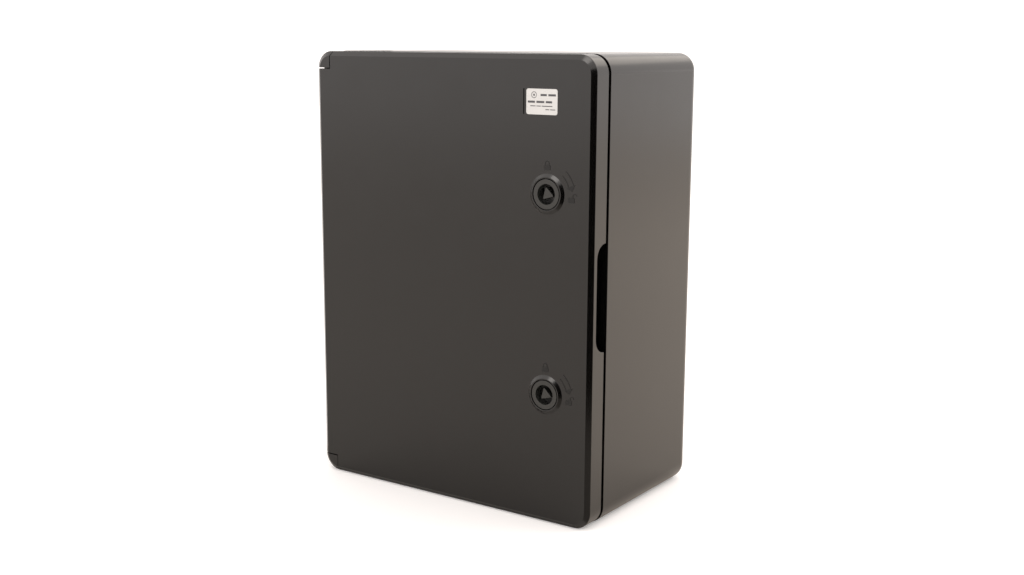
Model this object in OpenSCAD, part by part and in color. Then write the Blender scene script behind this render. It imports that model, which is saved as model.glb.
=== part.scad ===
// Wall-mounted combiner box for four photovoltaic strings.
// A moulded base tray carries a hinged door with two quarter-turn locks. Inside are a steel
// mounting plate, two top-hat rails, fuse holders, a surge protector, an isolator and terminals.
// X points right as seen from the front, Y points to the back and Z points up.
// The origin is the middle of the underside of the overall box.

/* [Enclosure] */
// Overall width
box_w = 300; // [300:10:340]
// Overall height
box_h = 400; // [400:10:440]
// Depth from the door's face to the back
box_d = 182; // [182:2:210]
// Radius of the four corners seen from the front
corner_r = 16; // [15:1:18]
// Radius of the rounded edge around the back
back_edge_r = 14; // [8:1:14]
// Thickness of the base's side walls
wall_t = 3.5; // [3:0.5:4]
// Thickness of the base's back wall
back_t = 4; // [3.5:0.5:5]

/* [Door] */
// Depth of the door, from its face to its rear edge
door_d = 21; // [20:0.5:21]
// Visible gap between the door's rear edge and the base
door_gap = 3; // [3:0.5:4]
// How far the door's edges stand inside the base's outline
door_inset = 0.4; // [0.3:0.1:0.5]
// Thickness of the door's face and skirt
door_t = 3.2; // [3:0.1:3.5]
// Width of the chamfer around the face
chamfer_w = 4.3; // [3:0.1:4.5]
// Depth of the chamfer around the face
chamfer_d = 3.1; // [2.5:0.1:3.5]
// Length of the finger recess in the skirt
recess_len = 92; // [80:2:100]
// Distance from the door's face to the recess
recess_start = 7.6; // [7:0.2:9]

/* [Locks] */
// Distance of the lock axes from the right edge
lock_inset = 45; // [44:1:50]
// Distance between the two lock axes
lock_pitch = 171; // [160:1:180]
// Height of the moulded bezel in front of the door's face
bezel_h = 2; // [1.5:0.5:2.5]
// Radius of the bezel where it meets the door
bezel_r = 17; // [16.5:0.5:18]
// Radius of the turning head
head_r = 12.5; // [12.2:0.1:12.6]
// Radius of the key socket
socket_r = 8.6; // [8.3:0.1:8.8]
// Side of the triangular key drive
key_side = 9.7; // [9:0.1:10]

/* [Hinge] */
// Distance of the hinge axis from the left edge and from the door's face
hinge_inset = 7.5; // [7.5:0.1:7.8]
// Height of each corner lug
lug_h = 14.9; // [14.1:0.2:15.9]
// Height of the gap between a lug and the door
lug_gap = 1; // [0.8:0.1:1.4]
// Radius of the hinge pins
hinge_pin_r = 3; // [2.5:0.1:3]

/* [Interior] */
// Height of the upper rail's middle
rail_upper_z = 285; // [280:1:295]
// Height of the lower rail's middle
rail_lower_z = 125; // [120:1:130]
// Number of strings, with one two-pole fuse holder each
strings = 4; // [4:1:4]
// Width of one module on a rail
module_w = 17.8; // [17.5:0.1:18]

/* [Wall fixing] */
// Radius of the four wall screw holes
wall_hole_r = 3.3; // [2.5:0.1:3.5]
// Distance of the wall screw holes from the box's sides
wall_hole_inset_x = 32; // [30:1:34]
// Distance of the wall screw holes from the box's top and bottom
wall_hole_inset_z = 22; // [20:1:24]

/* [Hidden] */
$fn = 64;
// Overlap used where a cut has to pass a face
cut = 1;
// Radial clearance of a running fit
run_fit = 0.05;

// Planes along the depth
front_y = bezel_h - (box_d + bezel_h) / 2;
back_y = front_y + box_d;
door_rear_y = front_y + door_d;
rim_y = door_rear_y + door_gap;
inner_back_y = back_y - back_t;
door_inner_y = front_y + door_t;
left_x = -box_w / 2;
right_x = box_w / 2;

// Sealing collar of the base and the gasket in the door
collar_t = 2.5;
collar_in_hinge = 24;
collar_in_lock = 13;
collar_in_end = 10;
collar_r = 8;
collar_front_y = front_y + 10;
collar_x0 = left_x + collar_in_hinge;
collar_x1 = right_x - collar_in_lock;
collar_z0 = collar_in_end;
collar_z1 = box_h - collar_in_end;
gasket_w = 5;
gasket_gap = 0.3;
channel_t = 1.5;
channel_gap = 0.1;
channel_y = front_y + 7.5;

// Hinge
pivot_x = left_x + hinge_inset;
pivot_y = front_y + hinge_inset;
lug_r = 11.6;
lug_notch_r = 12.2;
lug_notch_x = pivot_x + 10.3;
lug_base_z = box_h - door_inset - lug_h;
notch_z = lug_base_z - lug_gap;
lug_arm_w = 15;
tenon_w = 9;
tenon_h = 8;
tenon_len = 14;
tenon_x = left_x + 4;
tenon_z = box_h - 13;
tenon_fit = 0.1;
pillar_x1 = left_x + 19;
pillar_z = box_h - 19;
pillar_len = 20;
lug_screw_y = rim_y + 9;
lug_screw_r = 2;
lug_screw_head_r = 3.8;
lug_screw_head_h = 2.5;
hinge_pin_len = 28;
hinge_pin_z = notch_z - 15;

// Locks
lock_x = right_x - lock_inset;
lock_zs = [box_h / 2 + lock_pitch / 2, box_h / 2 - lock_pitch / 2];
bezel_top_r = 14.3;
head_recess_r = 13.3;
head_front = 0.2;
head_t = 2.4;
head_floor_y = front_y + 2.2;
stem_r = 10.6;
lock_boss_r = 17;
lock_boss_y = front_y + 10;
socket_floor_y = front_y + 8.5;
key_front_y = front_y + 0.2;
key_tip_r = 0.8;
key_turn = 105;
neck_r = 7;
neck_y = front_y + 10.4;
retainer_t = 1.5;
retainer_r = 12.6;
cam_y = front_y + 14.5;
cam_t = 3;
cam_len = 27.5;
cam_w = 16;
cam_hub_r = 10;
drive_side = 9;
cam_screw_r = 2.5;
cam_screw_head_r = 5;
cam_screw_head_h = 3;
cam_screw_len = 12;
seal_r = 11.6;
seal_section_r = 0.6;
catch_w = 24;
catch_t = 3;
catch_reach = 10.5;
catch_y = front_y + 10.5;

// Label
label_w = 30.4;
label_h = 21;
label_t = 0.4;
label_x = lock_x - 6;
label_z = box_h - 39;
label_r = 2;

// Mounting plate and rails
plate_t = 2;
plate_stand = 8;
plate_y = inner_back_y - plate_stand;
plate_front_y = plate_y - plate_t;
plate_w = box_w - 50;
plate_z0 = 38;
plate_z1 = box_h - 38;
plate_r = 6;
plate_boss_r = 7;
plate_screw_r = 2.5;
plate_screw_inset = 12;
wall_boss_r = 8;
wall_boss_h = 4;
rail_h = 35;
rail_hat_h = 27;
rail_depth = 7.5;
rail_t = 1;
rail_x0 = left_x + 30;
rail_x1 = right_x - 30;
rail_y = plate_front_y - rail_depth;
rail_slot_pitch = 30;
rail_slot_len = 15;
rail_slot_w = 6.2;
rail_slot_r = 3;
rail_screw_inset = 15;
screw_head_r = 4.5;
screw_head_h = 3;

// Modules on the rails
module_half_h = 41;
window_half_h = 24;
shoulder_y = plate_front_y - 52;
module_front_y = plate_front_y - 66;
module_back_y = rail_y + 3.1;
hook_y = rail_y + 1.3;
hook_in = 2.5;
notch_y = rail_y - 0.3;
notch_half_h = rail_h / 2 + 0.4;
module_gap = 0.2;
entry_w = 8;
entry_depth = 13;
entry_y = rail_y - 22.5;
screw_in = 6.5;
driver_hole_r = 2.8;
terminal_screw_r = 2.6;
terminal_shank_r = 2;
terminal_screw_back_y = entry_y - 4.4;
terminal_screw_head = 4;
terminal_screw_len = 13;

// Fuse holders
fuse_x0 = rail_x0 + 12;
pivot_back = 5;
carrier_pivot_y = module_front_y + pivot_back;
carrier_pivot_dz = -19.5;
pocket_r = 42;
carrier_r = 41.6;
pocket_back = 16.6;
carrier_back = 16;
pocket_w = 14.6;
blade_w = 13.8;
blade_over = 0.5;
pocket_foot_r = 7.4;
carrier_foot = 2.2;
axle_r = 2;
axle_wall = 0.8;
cover_t = 2.5;
cover_foot = 6.5;
cover_top = 41;
grip_depth = 4;
grip_z0 = 33;
grip_z1 = 38;
link_r = 5.15;
link_len = 38;
link_cap_len = 10;
link_body_r = 4.9;
link_y = 10.2;
link_z = 0.6;
link_fit = 0.1;
contact_t = 0.7;
contact_w = 8;
contact_h = 8;
contact_zs = [2, 29];

// Comb busbars
bar_t = 1.5;
bar_h = 12;
bar_lift = 4;
tooth_w = 5;
tooth_len = 14;
bar_pos_y = entry_y - 2.8 + bar_t / 2;
bar_neg_y = entry_y + 1.3 + bar_t / 2;
bar_over = 6;
bar_z = rail_lower_z + module_half_h + bar_lift;

// Surge protector
spd_x0 = fuse_x0 + 5 * module_w + 1;
spd_poles = 3;
spd_w = spd_poles * module_w - module_gap;
plug_w = 16.4;
plug_gap = 0.4;
plug_half_h = 21.9;
plug_back_y = module_front_y + 37.6;
plug_proud = 1.5;
plug_blade_t = 1.6;
plug_blade_h = 8;
plug_blade_len = 7;
plug_blade_z = 12;
plug_window_r = 2;
plug_window_d = 1;
plug_groove_h = 1.6;
plug_groove_d = 1;
plug_grooves = 4;

// Isolator
isolator_x0 = rail_x0 + 15;
isolator_poles = 4;
isolator_w = isolator_poles * module_w - module_gap;
knob_x = isolator_x0 + isolator_w / 2;
knob_r = 18;
knob_base_t = 4;
knob_gap = 0.6;
knob_grip_w = 9;
knob_grip_d = 14;
knob_grip_r = 2;
shaft_r = 4;
shaft_len = 26;

// Terminals at the end of the lower rail
terminal_x0 = fuse_x0 + 2 * strings * module_w + 5.6;
terminal_w = 12;
terminal_pitch = 12.4;
terminal_half_h = 30;
terminal_front_y = plate_front_y - 48;
clamp_w = 8;
clamp_half_h = 24;
clamp_front_y = plate_front_y - 26;

// Gland plate in the underside
gland_y = (rim_y + back_y - back_edge_r) / 2 + 4;
gland_hole_w = 170;
gland_hole_d = 70;
gland_plate_w = 194;
gland_plate_d = 92;
gland_plate_t = 2;
gland_seal_t = 1.5;
gland_seal_z = wall_t;
gland_plate_z = gland_seal_z + gland_seal_t;
gland_screw_r = 1.8;
gland_screw_inset = 6;
gland_boss_r = 4.5;
gland_screw_head_r = 3.5;
gland_screw_head_h = 2.4;
gland_screw_foot = 1.2;
string_grommet_r = 6.5;
output_grommet_r = 11;
string_grommet_pitch = 17;
string_grommet_in = 15.3;
string_rows = 2;
string_row_pitch = 25.5;
output_grommet_pitch = 30;
output_grommet_in = 24;
grommet_lip = 1.6;
grommet_rise = 4;
membrane_t = 1.2;

// Wires
wire_r = 2.6;
wire_sides = 8;
iso_bottom_z = rail_upper_z - module_half_h;
iso_top_z = rail_upper_z + module_half_h;
term_top_z = rail_lower_z + terminal_half_h;
bar_top_z = bar_z + bar_h;
wire_in = 7;
wire_step = 8;

// ---- helpers ----

// Rectangle from a corner point to its opposite, with rounded corners
module rounded_rect(x0, y0, x1, y1, r) {
  translate([x0 + r, y0]) square([x1 - x0 - 2 * r, y1 - y0]);
  translate([x0, y0 + r]) square([x1 - x0, y1 - y0 - 2 * r]);
  for (x = [x0 + r, x1 - r], y = [y0 + r, y1 - r]) translate([x, y]) circle(r);
}

// Extrudes an outline drawn in X and Z from depth y0 to depth y1
module along_y(y0, y1) {
  translate([0, y1, 0]) rotate([90, 0, 0]) linear_extrude(y1 - y0) children();
}

// Extrudes an outline drawn in Y and Z from x0 to x1
module along_x(x0, x1) {
  translate([x0, 0, 0]) rotate([90, 0, 90]) linear_extrude(x1 - x0) children();
}

// Round bar along Y
module rod_y(x, z, y0, y1, r) {
  translate([x, y0, z]) rotate([-90, 0, 0]) cylinder(h = y1 - y0, r = r);
}

// Round bar along X
module rod_x(y, z, x0, x1, r) {
  translate([x0, y, z]) rotate([0, 90, 0]) cylinder(h = x1 - x0, r = r);
}

// Box given by two opposite corners
module block(p, q) {
  translate(p) cube(q - p);
}

// Block with round corners whose edge follows the outline given as a child.
// The outline runs from 0 to r across the edge and from 0 to d along the depth.
module edged_block(w, h, r, d) {
  corners = [[1, -1], [1, 1], [-1, 1], [-1, -1]];
  translate([-w / 2 + r, 0, -h / 2 + r]) cube([w - 2 * r, d, h - 2 * r]);
  for (k = [0 : 3]) {
    upright = k % 2 == 0;
    reach = (upright ? w : h) / 2 - r;
    run = (upright ? h : w) - 2 * r;
    rotate([0, -90 * k, 0]) translate([reach, 0, -run / 2]) linear_extrude(run) children();
    translate([corners[k][0] * (w / 2 - r), 0, corners[k][1] * (h / 2 - r)])
      rotate([0, -90 * k, 0]) rotate([-90, 0, 0]) rotate_extrude(angle = 90) children();
  }
}

// Does the same at the top and bottom of the box
module top_and_bottom() {
  children();
  translate([0, 0, box_h]) mirror([0, 0, 1]) children();
}

// ---- base ----

// Outline of a tray's edge of depth d and corner radius r, with a back edge rounded by e
module tray_edge(r, d, e) {
  square([r, d - e]);
  square([r - e, d]);
  translate([r - e, d - e]) intersection() {
    circle(e);
    square(e);
  }
}

module tray_block(y0, y1, shrink, e) {
  r = corner_r - shrink;
  translate([0, y0, box_h / 2])
    edged_block(box_w - 2 * shrink, box_h - 2 * shrink, r, y1 - y0) tray_edge(r, y1 - y0, e);
}

module collar_outline(grow) {
  rounded_rect(
    collar_x0 - grow, collar_z0 - grow, collar_x1 + grow, collar_z1 + grow, collar_r + grow
  );
}

module base() {
  wall_x = box_w / 2 - wall_hole_inset_x;
  plate_x = plate_w / 2 - plate_screw_inset;
  color("#4a4643")
  difference() {
    union() {
      difference() {
        union() {
          tray_block(rim_y, back_y, 0, back_edge_r);
          along_y(collar_front_y, rim_y + cut) collar_outline(0);
        }
        tray_block(rim_y + wall_t, inner_back_y, wall_t, back_edge_r - back_t);
        along_y(collar_front_y - cut, rim_y + wall_t + cut) collar_outline(-collar_t);
      }
      // Catches behind which the lock cams turn
      for (z = lock_zs)
        block(
          [collar_x1 - collar_t - catch_reach, catch_y, z - catch_w / 2],
          [collar_x1 - collar_t / 2, catch_y + catch_t, z + catch_w / 2]
        );
      // Corner pillars that hold the hinge lugs
      intersection() {
        tray_block(rim_y, back_y, 0, back_edge_r);
        top_and_bottom()
          block([left_x, rim_y, pillar_z], [pillar_x1, rim_y + pillar_len, box_h]);
      }
      // Bosses for the mounting plate and around the wall screw holes
      for (x = [-plate_x, plate_x], z = [plate_z0 + plate_screw_inset, plate_z1 - plate_screw_inset])
        rod_y(x, z, plate_y, inner_back_y + cut, plate_boss_r);
      for (x = [-wall_x, wall_x], z = [wall_hole_inset_z, box_h - wall_hole_inset_z])
        rod_y(x, z, inner_back_y - wall_boss_h, inner_back_y + cut, wall_boss_r);
      // Bosses for the gland plate's screws
      gland_screw_places() translate([0, 0, gland_seal_z - cut])
        cylinder(h = gland_seal_t + cut, r = gland_boss_r);
    }
    for (x = [-wall_x, wall_x], z = [wall_hole_inset_z, box_h - wall_hole_inset_z])
      rod_y(x, z, inner_back_y - wall_boss_h - cut, back_y + cut, wall_hole_r);
    for (x = [-plate_x, plate_x], z = [plate_z0 + plate_screw_inset, plate_z1 - plate_screw_inset])
      rod_y(x, z, plate_y - cut, inner_back_y, plate_screw_r);
    top_and_bottom() {
      block(
        [tenon_x - tenon_fit, rim_y - cut, tenon_z - tenon_h / 2 - tenon_fit],
        [tenon_x + tenon_w + tenon_fit, rim_y + tenon_len + tenon_fit, tenon_z + tenon_h / 2 + tenon_fit]
      );
      rod_x(lug_screw_y, tenon_z, tenon_x + tenon_w, pillar_x1 + cut, lug_screw_r + tenon_fit);
    }
    block(
      [-gland_hole_w / 2, gland_y - gland_hole_d / 2, -cut],
      [gland_hole_w / 2, gland_y + gland_hole_d / 2, wall_t + cut]
    );
    gland_screw_places() translate([0, 0, gland_screw_foot])
      cylinder(h = gland_plate_z, r = gland_screw_r);
  }
}

// ---- door ----

// Outline of the door's edge, with its chamfered face at depth 0
module door_edge(d) {
  polygon([
    [0, 0], [corner_r - chamfer_w, 0], [corner_r, chamfer_d], [corner_r, d], [0, d]
  ]);
}

module door_block(d) {
  translate([0, front_y, box_h / 2])
    edged_block(box_w - 2 * door_inset, box_h - 2 * door_inset, corner_r, d) door_edge(d);
}

module channel_ring(inner, outer) {
  along_y(door_inner_y - cut, channel_y) difference() {
    collar_outline(outer);
    collar_outline(inner);
  }
}

module door() {
  inset = door_inset + door_t;
  half_gasket = gasket_w / 2 - collar_t / 2;
  boss_reach = 7;
  boss_z = hinge_pin_z - 2;
  boss_back_y = pivot_y + boss_reach;
  notch_wall = 2.2;
  notch_wall_x = pivot_x + lug_notch_r + notch_wall;
  color("#4a4643")
  difference() {
    union() {
      difference() {
        door_block(door_d);
        along_y(door_inner_y, door_rear_y + cut)
          rounded_rect(left_x + inset, inset, right_x - inset, box_h - inset, corner_r - door_t);
      }
      channel_ring(half_gasket + channel_gap, half_gasket + channel_gap + channel_t);
      channel_ring(
        -half_gasket - collar_t - channel_gap - channel_t, -half_gasket - collar_t - channel_gap
      );
      // Hinge bosses below and above the lugs, with the wall beside each lug
      top_and_bottom() {
        block(
          [left_x + door_inset + door_t - cut, door_inner_y - cut, boss_z],
          [pivot_x + boss_reach, boss_back_y, notch_z]
        );
        block(
          [pivot_x + boss_reach - cut, door_inner_y - cut, notch_z - notch_wall],
          [notch_wall_x, boss_back_y, notch_z]
        );
        block(
          [lug_notch_x, door_inner_y - cut, notch_z - notch_wall],
          [notch_wall_x, boss_back_y, box_h - inset + cut]
        );
      }
      for (z = lock_zs) {
        rod_y(lock_x, z, door_inner_y - cut, lock_boss_y, lock_boss_r);
        translate([lock_x, front_y - bezel_h, z]) rotate([-90, 0, 0])
          cylinder(h = bezel_h, r1 = bezel_top_r, r2 = bezel_r);
      }
    }
    top_and_bottom() {
      block([left_x - cut, front_y - cut, notch_z], [pivot_x, door_rear_y + cut, box_h + cut]);
      block([left_x, pivot_y, notch_z], [lug_notch_x, door_rear_y + cut, box_h + cut]);
      translate([pivot_x, pivot_y, notch_z])
        cylinder(h = box_h + cut - notch_z, r = lug_notch_r);
      translate([pivot_x, pivot_y, hinge_pin_z - hinge_pin_r / 2])
        cylinder(h = notch_z - hinge_pin_z + hinge_pin_r, r = hinge_pin_r + run_fit);
    }
    for (z = lock_zs) {
      rod_y(lock_x, z, front_y - bezel_h - cut, head_floor_y, head_recess_r);
      rod_y(lock_x, z, head_floor_y - cut, lock_boss_y + cut, stem_r + run_fit);
    }
    finger_recess();
  }
}

// Finger recess, open at the door's rear edge
module finger_recess() {
  recess_r = 12.6;
  z0 = (box_h - recess_len) / 2;
  y0 = front_y + recess_start;
  along_x(right_x - door_inset - door_t - cut, right_x + cut) {
    translate([y0 + recess_r, z0]) square([door_d, recess_len]);
    translate([y0, z0 + recess_r]) square([recess_r, recess_len - 2 * recess_r]);
    for (z = [z0 + recess_r, z0 + recess_len - recess_r])
      translate([y0 + recess_r, z]) circle(recess_r);
  }
}

module door_gasket() {
  half_gasket = gasket_w / 2 - collar_t / 2;
  color("#2a2a2a")
  along_y(door_inner_y, collar_front_y - gasket_gap) difference() {
    collar_outline(half_gasket);
    collar_outline(-half_gasket - collar_t);
  }
}

// ---- hinge ----

module hinge_lug() {
  arm_x1 = pivot_x + lug_arm_w - hinge_inset;
  color("#454140")
  difference() {
    union() {
      intersection() {
        door_block(rim_y - front_y);
        union() {
          translate([pivot_x, pivot_y, lug_base_z]) cylinder(h = lug_h, r = lug_r);
          block([left_x, pivot_y, lug_base_z], [arm_x1, rim_y, box_h]);
        }
      }
      block(
        [tenon_x, rim_y - cut, tenon_z - tenon_h / 2],
        [tenon_x + tenon_w, rim_y + tenon_len, tenon_z + tenon_h / 2]
      );
    }
    translate([pivot_x, pivot_y, lug_base_z - cut])
      cylinder(h = hinge_pin_z + hinge_pin_len - lug_base_z + cut, r = hinge_pin_r);
    rod_x(lug_screw_y, tenon_z, tenon_x + cut, tenon_x + tenon_w + cut, lug_screw_r);
  }
}

module hinge_lug_top() {
  hinge_lug();
}

module hinge_lug_bottom() {
  translate([0, 0, box_h]) mirror([0, 0, 1]) hinge_lug();
}

module hinge_pin() {
  color("#b8b8b4")
  translate([pivot_x, pivot_y, hinge_pin_z]) cylinder(h = hinge_pin_len, r = hinge_pin_r);
}

module hinge_pin_top() {
  hinge_pin();
}

module hinge_pin_bottom() {
  translate([0, 0, box_h]) mirror([0, 0, 1]) hinge_pin();
}

module hinge_lug_screws() {
  slot_w = 1;
  slot_d = 1.2;
  color("#b8b8b4")
  top_and_bottom() difference() {
    union() {
      rod_x(lug_screw_y, tenon_z, tenon_x + cut, pillar_x1, lug_screw_r);
      rod_x(lug_screw_y, tenon_z, pillar_x1, pillar_x1 + lug_screw_head_h, lug_screw_head_r);
    }
    block(
      [pillar_x1 + lug_screw_head_h - slot_d, lug_screw_y - slot_w / 2, tenon_z - lug_screw_head_r],
      [pillar_x1 + lug_screw_head_h + cut, lug_screw_y + slot_w / 2, tenon_z + lug_screw_head_r]
    );
  }
}

// ---- label ----

module rating_label() {
  color("#f4f4f0")
  along_y(front_y - label_t, front_y)
    rounded_rect(
      label_x - label_w / 2, label_z - label_h / 2,
      label_x + label_w / 2, label_z + label_h / 2, label_r
    );
}

// ---- locks ----

module key_outline() {
  reach = key_side / sqrt(3) - key_tip_r;
  hull() for (k = [0 : 2])
    rotate(key_turn + 120 * k) translate([reach, 0]) circle(key_tip_r, $fn = 32);
}

module lock_rotor(z) {
  color("#454140")
  union() {
    difference() {
      union() {
        rod_y(lock_x, z, front_y - bezel_h + head_front, front_y - bezel_h + head_front + head_t, head_r);
        rod_y(lock_x, z, front_y - bezel_h + head_front, neck_y, stem_r);
        rod_y(lock_x, z, neck_y - cut, cam_y, neck_r);
        along_y(cam_y - cut, cam_y + cam_t)
          translate([lock_x - drive_side / 2, z - drive_side / 2]) square(drive_side);
      }
      rod_y(lock_x, z, front_y - bezel_h - cut, socket_floor_y, socket_r);
      rod_y(lock_x, z, cam_y + cam_t - cam_screw_len, cam_y + cam_t + cut, cam_screw_r);
    }
    along_y(key_front_y, socket_floor_y + cut / 2) translate([lock_x, z]) key_outline();
  }
}

module lock_rotor_upper() {
  lock_rotor(lock_zs[0]);
}

module lock_rotor_lower() {
  lock_rotor(lock_zs[1]);
}

module lock_seal_rings() {
  color("#1c1c1c")
  for (z = lock_zs) translate([lock_x, head_floor_y - seal_section_r, z]) rotate([-90, 0, 0])
    rotate_extrude() translate([seal_r, 0]) circle(seal_section_r);
}

module lock_retainer(z) {
  color("#a8a8a4")
  difference() {
    rod_y(lock_x, z, neck_y, neck_y + retainer_t, retainer_r);
    rod_y(lock_x, z, neck_y - cut, neck_y + retainer_t + cut, neck_r);
  }
}

module lock_retainer_upper() {
  lock_retainer(lock_zs[0]);
}

module lock_retainer_lower() {
  lock_retainer(lock_zs[1]);
}

module lock_cam(z) {
  color("#b0b0ac")
  along_y(cam_y, cam_y + cam_t) difference() {
    union() {
      translate([lock_x, z]) circle(cam_hub_r);
      translate([lock_x, z - cam_w / 2]) square([cam_len, cam_w]);
    }
    translate([lock_x - drive_side / 2, z - drive_side / 2]) square(drive_side);
  }
}

module lock_cam_upper() {
  lock_cam(lock_zs[0]);
}

module lock_cam_lower() {
  lock_cam(lock_zs[1]);
}

module cam_screw(z) {
  head_y = cam_y + cam_t;
  color("#c4c4c0")
  union() {
    rod_y(lock_x, z, head_y - cam_screw_len, head_y + cut, cam_screw_r);
    rod_y(lock_x, z, head_y, head_y + cam_screw_head_h, cam_screw_head_r);
  }
}

module cam_screw_upper() {
  cam_screw(lock_zs[0]);
}

module cam_screw_lower() {
  cam_screw(lock_zs[1]);
}

// ---- mounting plate and rails ----

module plate_screw_places() {
  x = plate_w / 2 - plate_screw_inset;
  for (sx = [-x, x], z = [plate_z0 + plate_screw_inset, plate_z1 - plate_screw_inset])
    translate([sx, 0, z]) children();
}

module rail_screw_places() {
  for (x = [rail_x0 + rail_screw_inset, rail_x1 - rail_screw_inset], z = [rail_upper_z, rail_lower_z])
    translate([x, 0, z]) children();
}

module mounting_plate() {
  color("#b9bdbf")
  difference() {
    along_y(plate_front_y, plate_y)
      rounded_rect(-plate_w / 2, plate_z0, plate_w / 2, plate_z1, plate_r);
    plate_screw_places() rod_y(0, 0, plate_front_y - cut, plate_y + cut, plate_screw_r);
    rail_screw_places() rod_y(0, 0, plate_front_y - cut, plate_y + cut, plate_screw_r);
  }
}

// Screw whose head rests on depth y, with the shank reaching back
module pan_screw(y, len) {
  recess_w = 1.2;
  recess_d = 1.6;
  difference() {
    union() {
      rod_y(0, 0, y - screw_head_h, y, screw_head_r);
      rod_y(0, 0, y - cut, y + len, plate_screw_r);
    }
    for (turn = [0, 90]) rotate([0, turn, 0])
      block(
        [-screw_head_r + recess_d, y - screw_head_h - cut, -recess_w / 2],
        [screw_head_r - recess_d, y - screw_head_h + recess_d, recess_w / 2]
      );
  }
}

module mounting_plate_screws() {
  color("#c9c9c4")
  plate_screw_places() pan_screw(plate_front_y, plate_t + plate_stand - cut);
}

module rail_outline() {
  hat = rail_hat_h / 2;
  half = rail_h / 2;
  polygon([
    [rail_y, half], [rail_y + rail_t, half], [rail_y + rail_t, hat], [plate_front_y, hat],
    [plate_front_y, -hat], [rail_y + rail_t, -hat], [rail_y + rail_t, -half], [rail_y, -half],
    [rail_y, -hat + rail_t], [plate_front_y - rail_t, -hat + rail_t],
    [plate_front_y - rail_t, hat - rail_t], [rail_y, hat - rail_t]
  ]);
}

module din_rail(z) {
  slots = floor((rail_x1 - rail_x0 - rail_slot_pitch) / rail_slot_pitch / 2);
  color("#d0d2d0")
  difference() {
    translate([0, 0, z]) along_x(rail_x0, rail_x1) rail_outline();
    for (k = [-slots : slots])
      along_y(plate_front_y - rail_t - cut, plate_front_y + cut) translate([k * rail_slot_pitch, z])
        rounded_rect(
          -rail_slot_len / 2, -rail_slot_w / 2, rail_slot_len / 2, rail_slot_w / 2,
          rail_slot_r
        );
    for (x = [rail_x0 + rail_screw_inset, rail_x1 - rail_screw_inset])
      rod_y(x, z, plate_front_y - rail_t - cut, plate_front_y + cut, plate_screw_r);
  }
}

module din_rail_upper() {
  din_rail(rail_upper_z);
}

module din_rail_lower() {
  din_rail(rail_lower_z);
}

module din_rail_screws() {
  color("#c9c9c4")
  rail_screw_places() pan_screw(plate_front_y - rail_t, plate_t + rail_t + plate_stand / 2);
}

// ---- modules on the rails ----

// Side outline of a module: terminals above and below, a raised window between them and a
// notch with two hooks that grip the rail. Heights are measured from the rail's middle.
module module_outline(half_h, shoulder, window, front) {
  polygon([
    [module_back_y, half_h], [shoulder, half_h], [shoulder, window], [front, window],
    [front, -window], [shoulder, -window], [shoulder, -half_h], [module_back_y, -half_h],
    [module_back_y, -rail_h / 2 + hook_in], [hook_y, -rail_h / 2 + hook_in],
    [hook_y, -notch_half_h], [notch_y, -notch_half_h], [notch_y, notch_half_h],
    [hook_y, notch_half_h], [hook_y, rail_h / 2 - hook_in], [module_back_y, rail_h / 2 - hook_in]
  ]);
}

// Wire entry and screwdriver hole of the terminals at the top and bottom of one pole
module terminal_cuts(x, half_h, front) {
  half = entry_w / 2;
  for (turn = [0, 1]) mirror([0, 0, turn]) {
    block(
      [x - half, entry_y - half, half_h - entry_depth],
      [x + half, entry_y + half, half_h + cut]
    );
    rod_y(x, half_h - screw_in, front - cut, entry_y, driver_hole_r);
  }
}

// Clamping screws of the terminals of one pole
module terminal_screw_pair(x, half_h) {
  slot_w = 0.8;
  slot_d = 1.2;
  for (side = [-1, 1]) translate([x, terminal_screw_back_y, side * (half_h - screw_in)])
    difference() {
      union() {
        rod_y(0, 0, -terminal_screw_len, -terminal_screw_len + terminal_screw_head, terminal_screw_r);
        rod_y(0, 0, -terminal_screw_len + cut, 0, terminal_shank_r);
      }
      block(
        [-terminal_screw_r, -terminal_screw_len - cut, -slot_w / 2],
        [terminal_screw_r, -terminal_screw_len + slot_d, slot_w / 2]
      );
    }
}

function fuse_x(i) = fuse_x0 + 2 * (i - 1) * module_w;
function pole_x(i, k) = fuse_x(i) + (k + 0.5) * module_w;

// Pocket in which one pole of a fuse carrier swings, around its axle
module carrier_pocket() {
  intersection() {
    circle(pocket_r);
    translate([-pivot_back - cut, 0]) square([pivot_back + cut + pocket_back, pocket_r]);
  }
  translate([-pivot_back - cut, -carrier_foot - link_fit])
    square([pivot_back + cut + pocket_back, carrier_foot + cut]);
  circle(pocket_foot_r);
}

module fuse_holder(i) {
  x0 = fuse_x(i);
  color("#dcdcd8")
  translate([0, 0, rail_lower_z]) difference() {
    along_x(x0, x0 + 2 * module_w - module_gap)
      module_outline(module_half_h, shoulder_y, window_half_h, module_front_y);
    for (k = [0, 1]) {
      x = pole_x(i, k);
      translate([0, carrier_pivot_y, carrier_pivot_dz])
        along_x(x - pocket_w / 2, x + pocket_w / 2) carrier_pocket();
      terminal_cuts(x, module_half_h, shoulder_y);
    }
    rod_x(
      carrier_pivot_y, carrier_pivot_dz, x0 + axle_wall - link_fit,
      x0 + 2 * module_w - module_gap - axle_wall + link_fit, axle_r + run_fit
    );
  }
}

// Side outline of one blade of a fuse carrier, around its axle
module carrier_outline() {
  intersection() {
    circle(carrier_r);
    translate([-pivot_back - blade_over, -carrier_foot])
      square([pivot_back + blade_over + carrier_back, carrier_r + carrier_foot]);
  }
}

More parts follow.
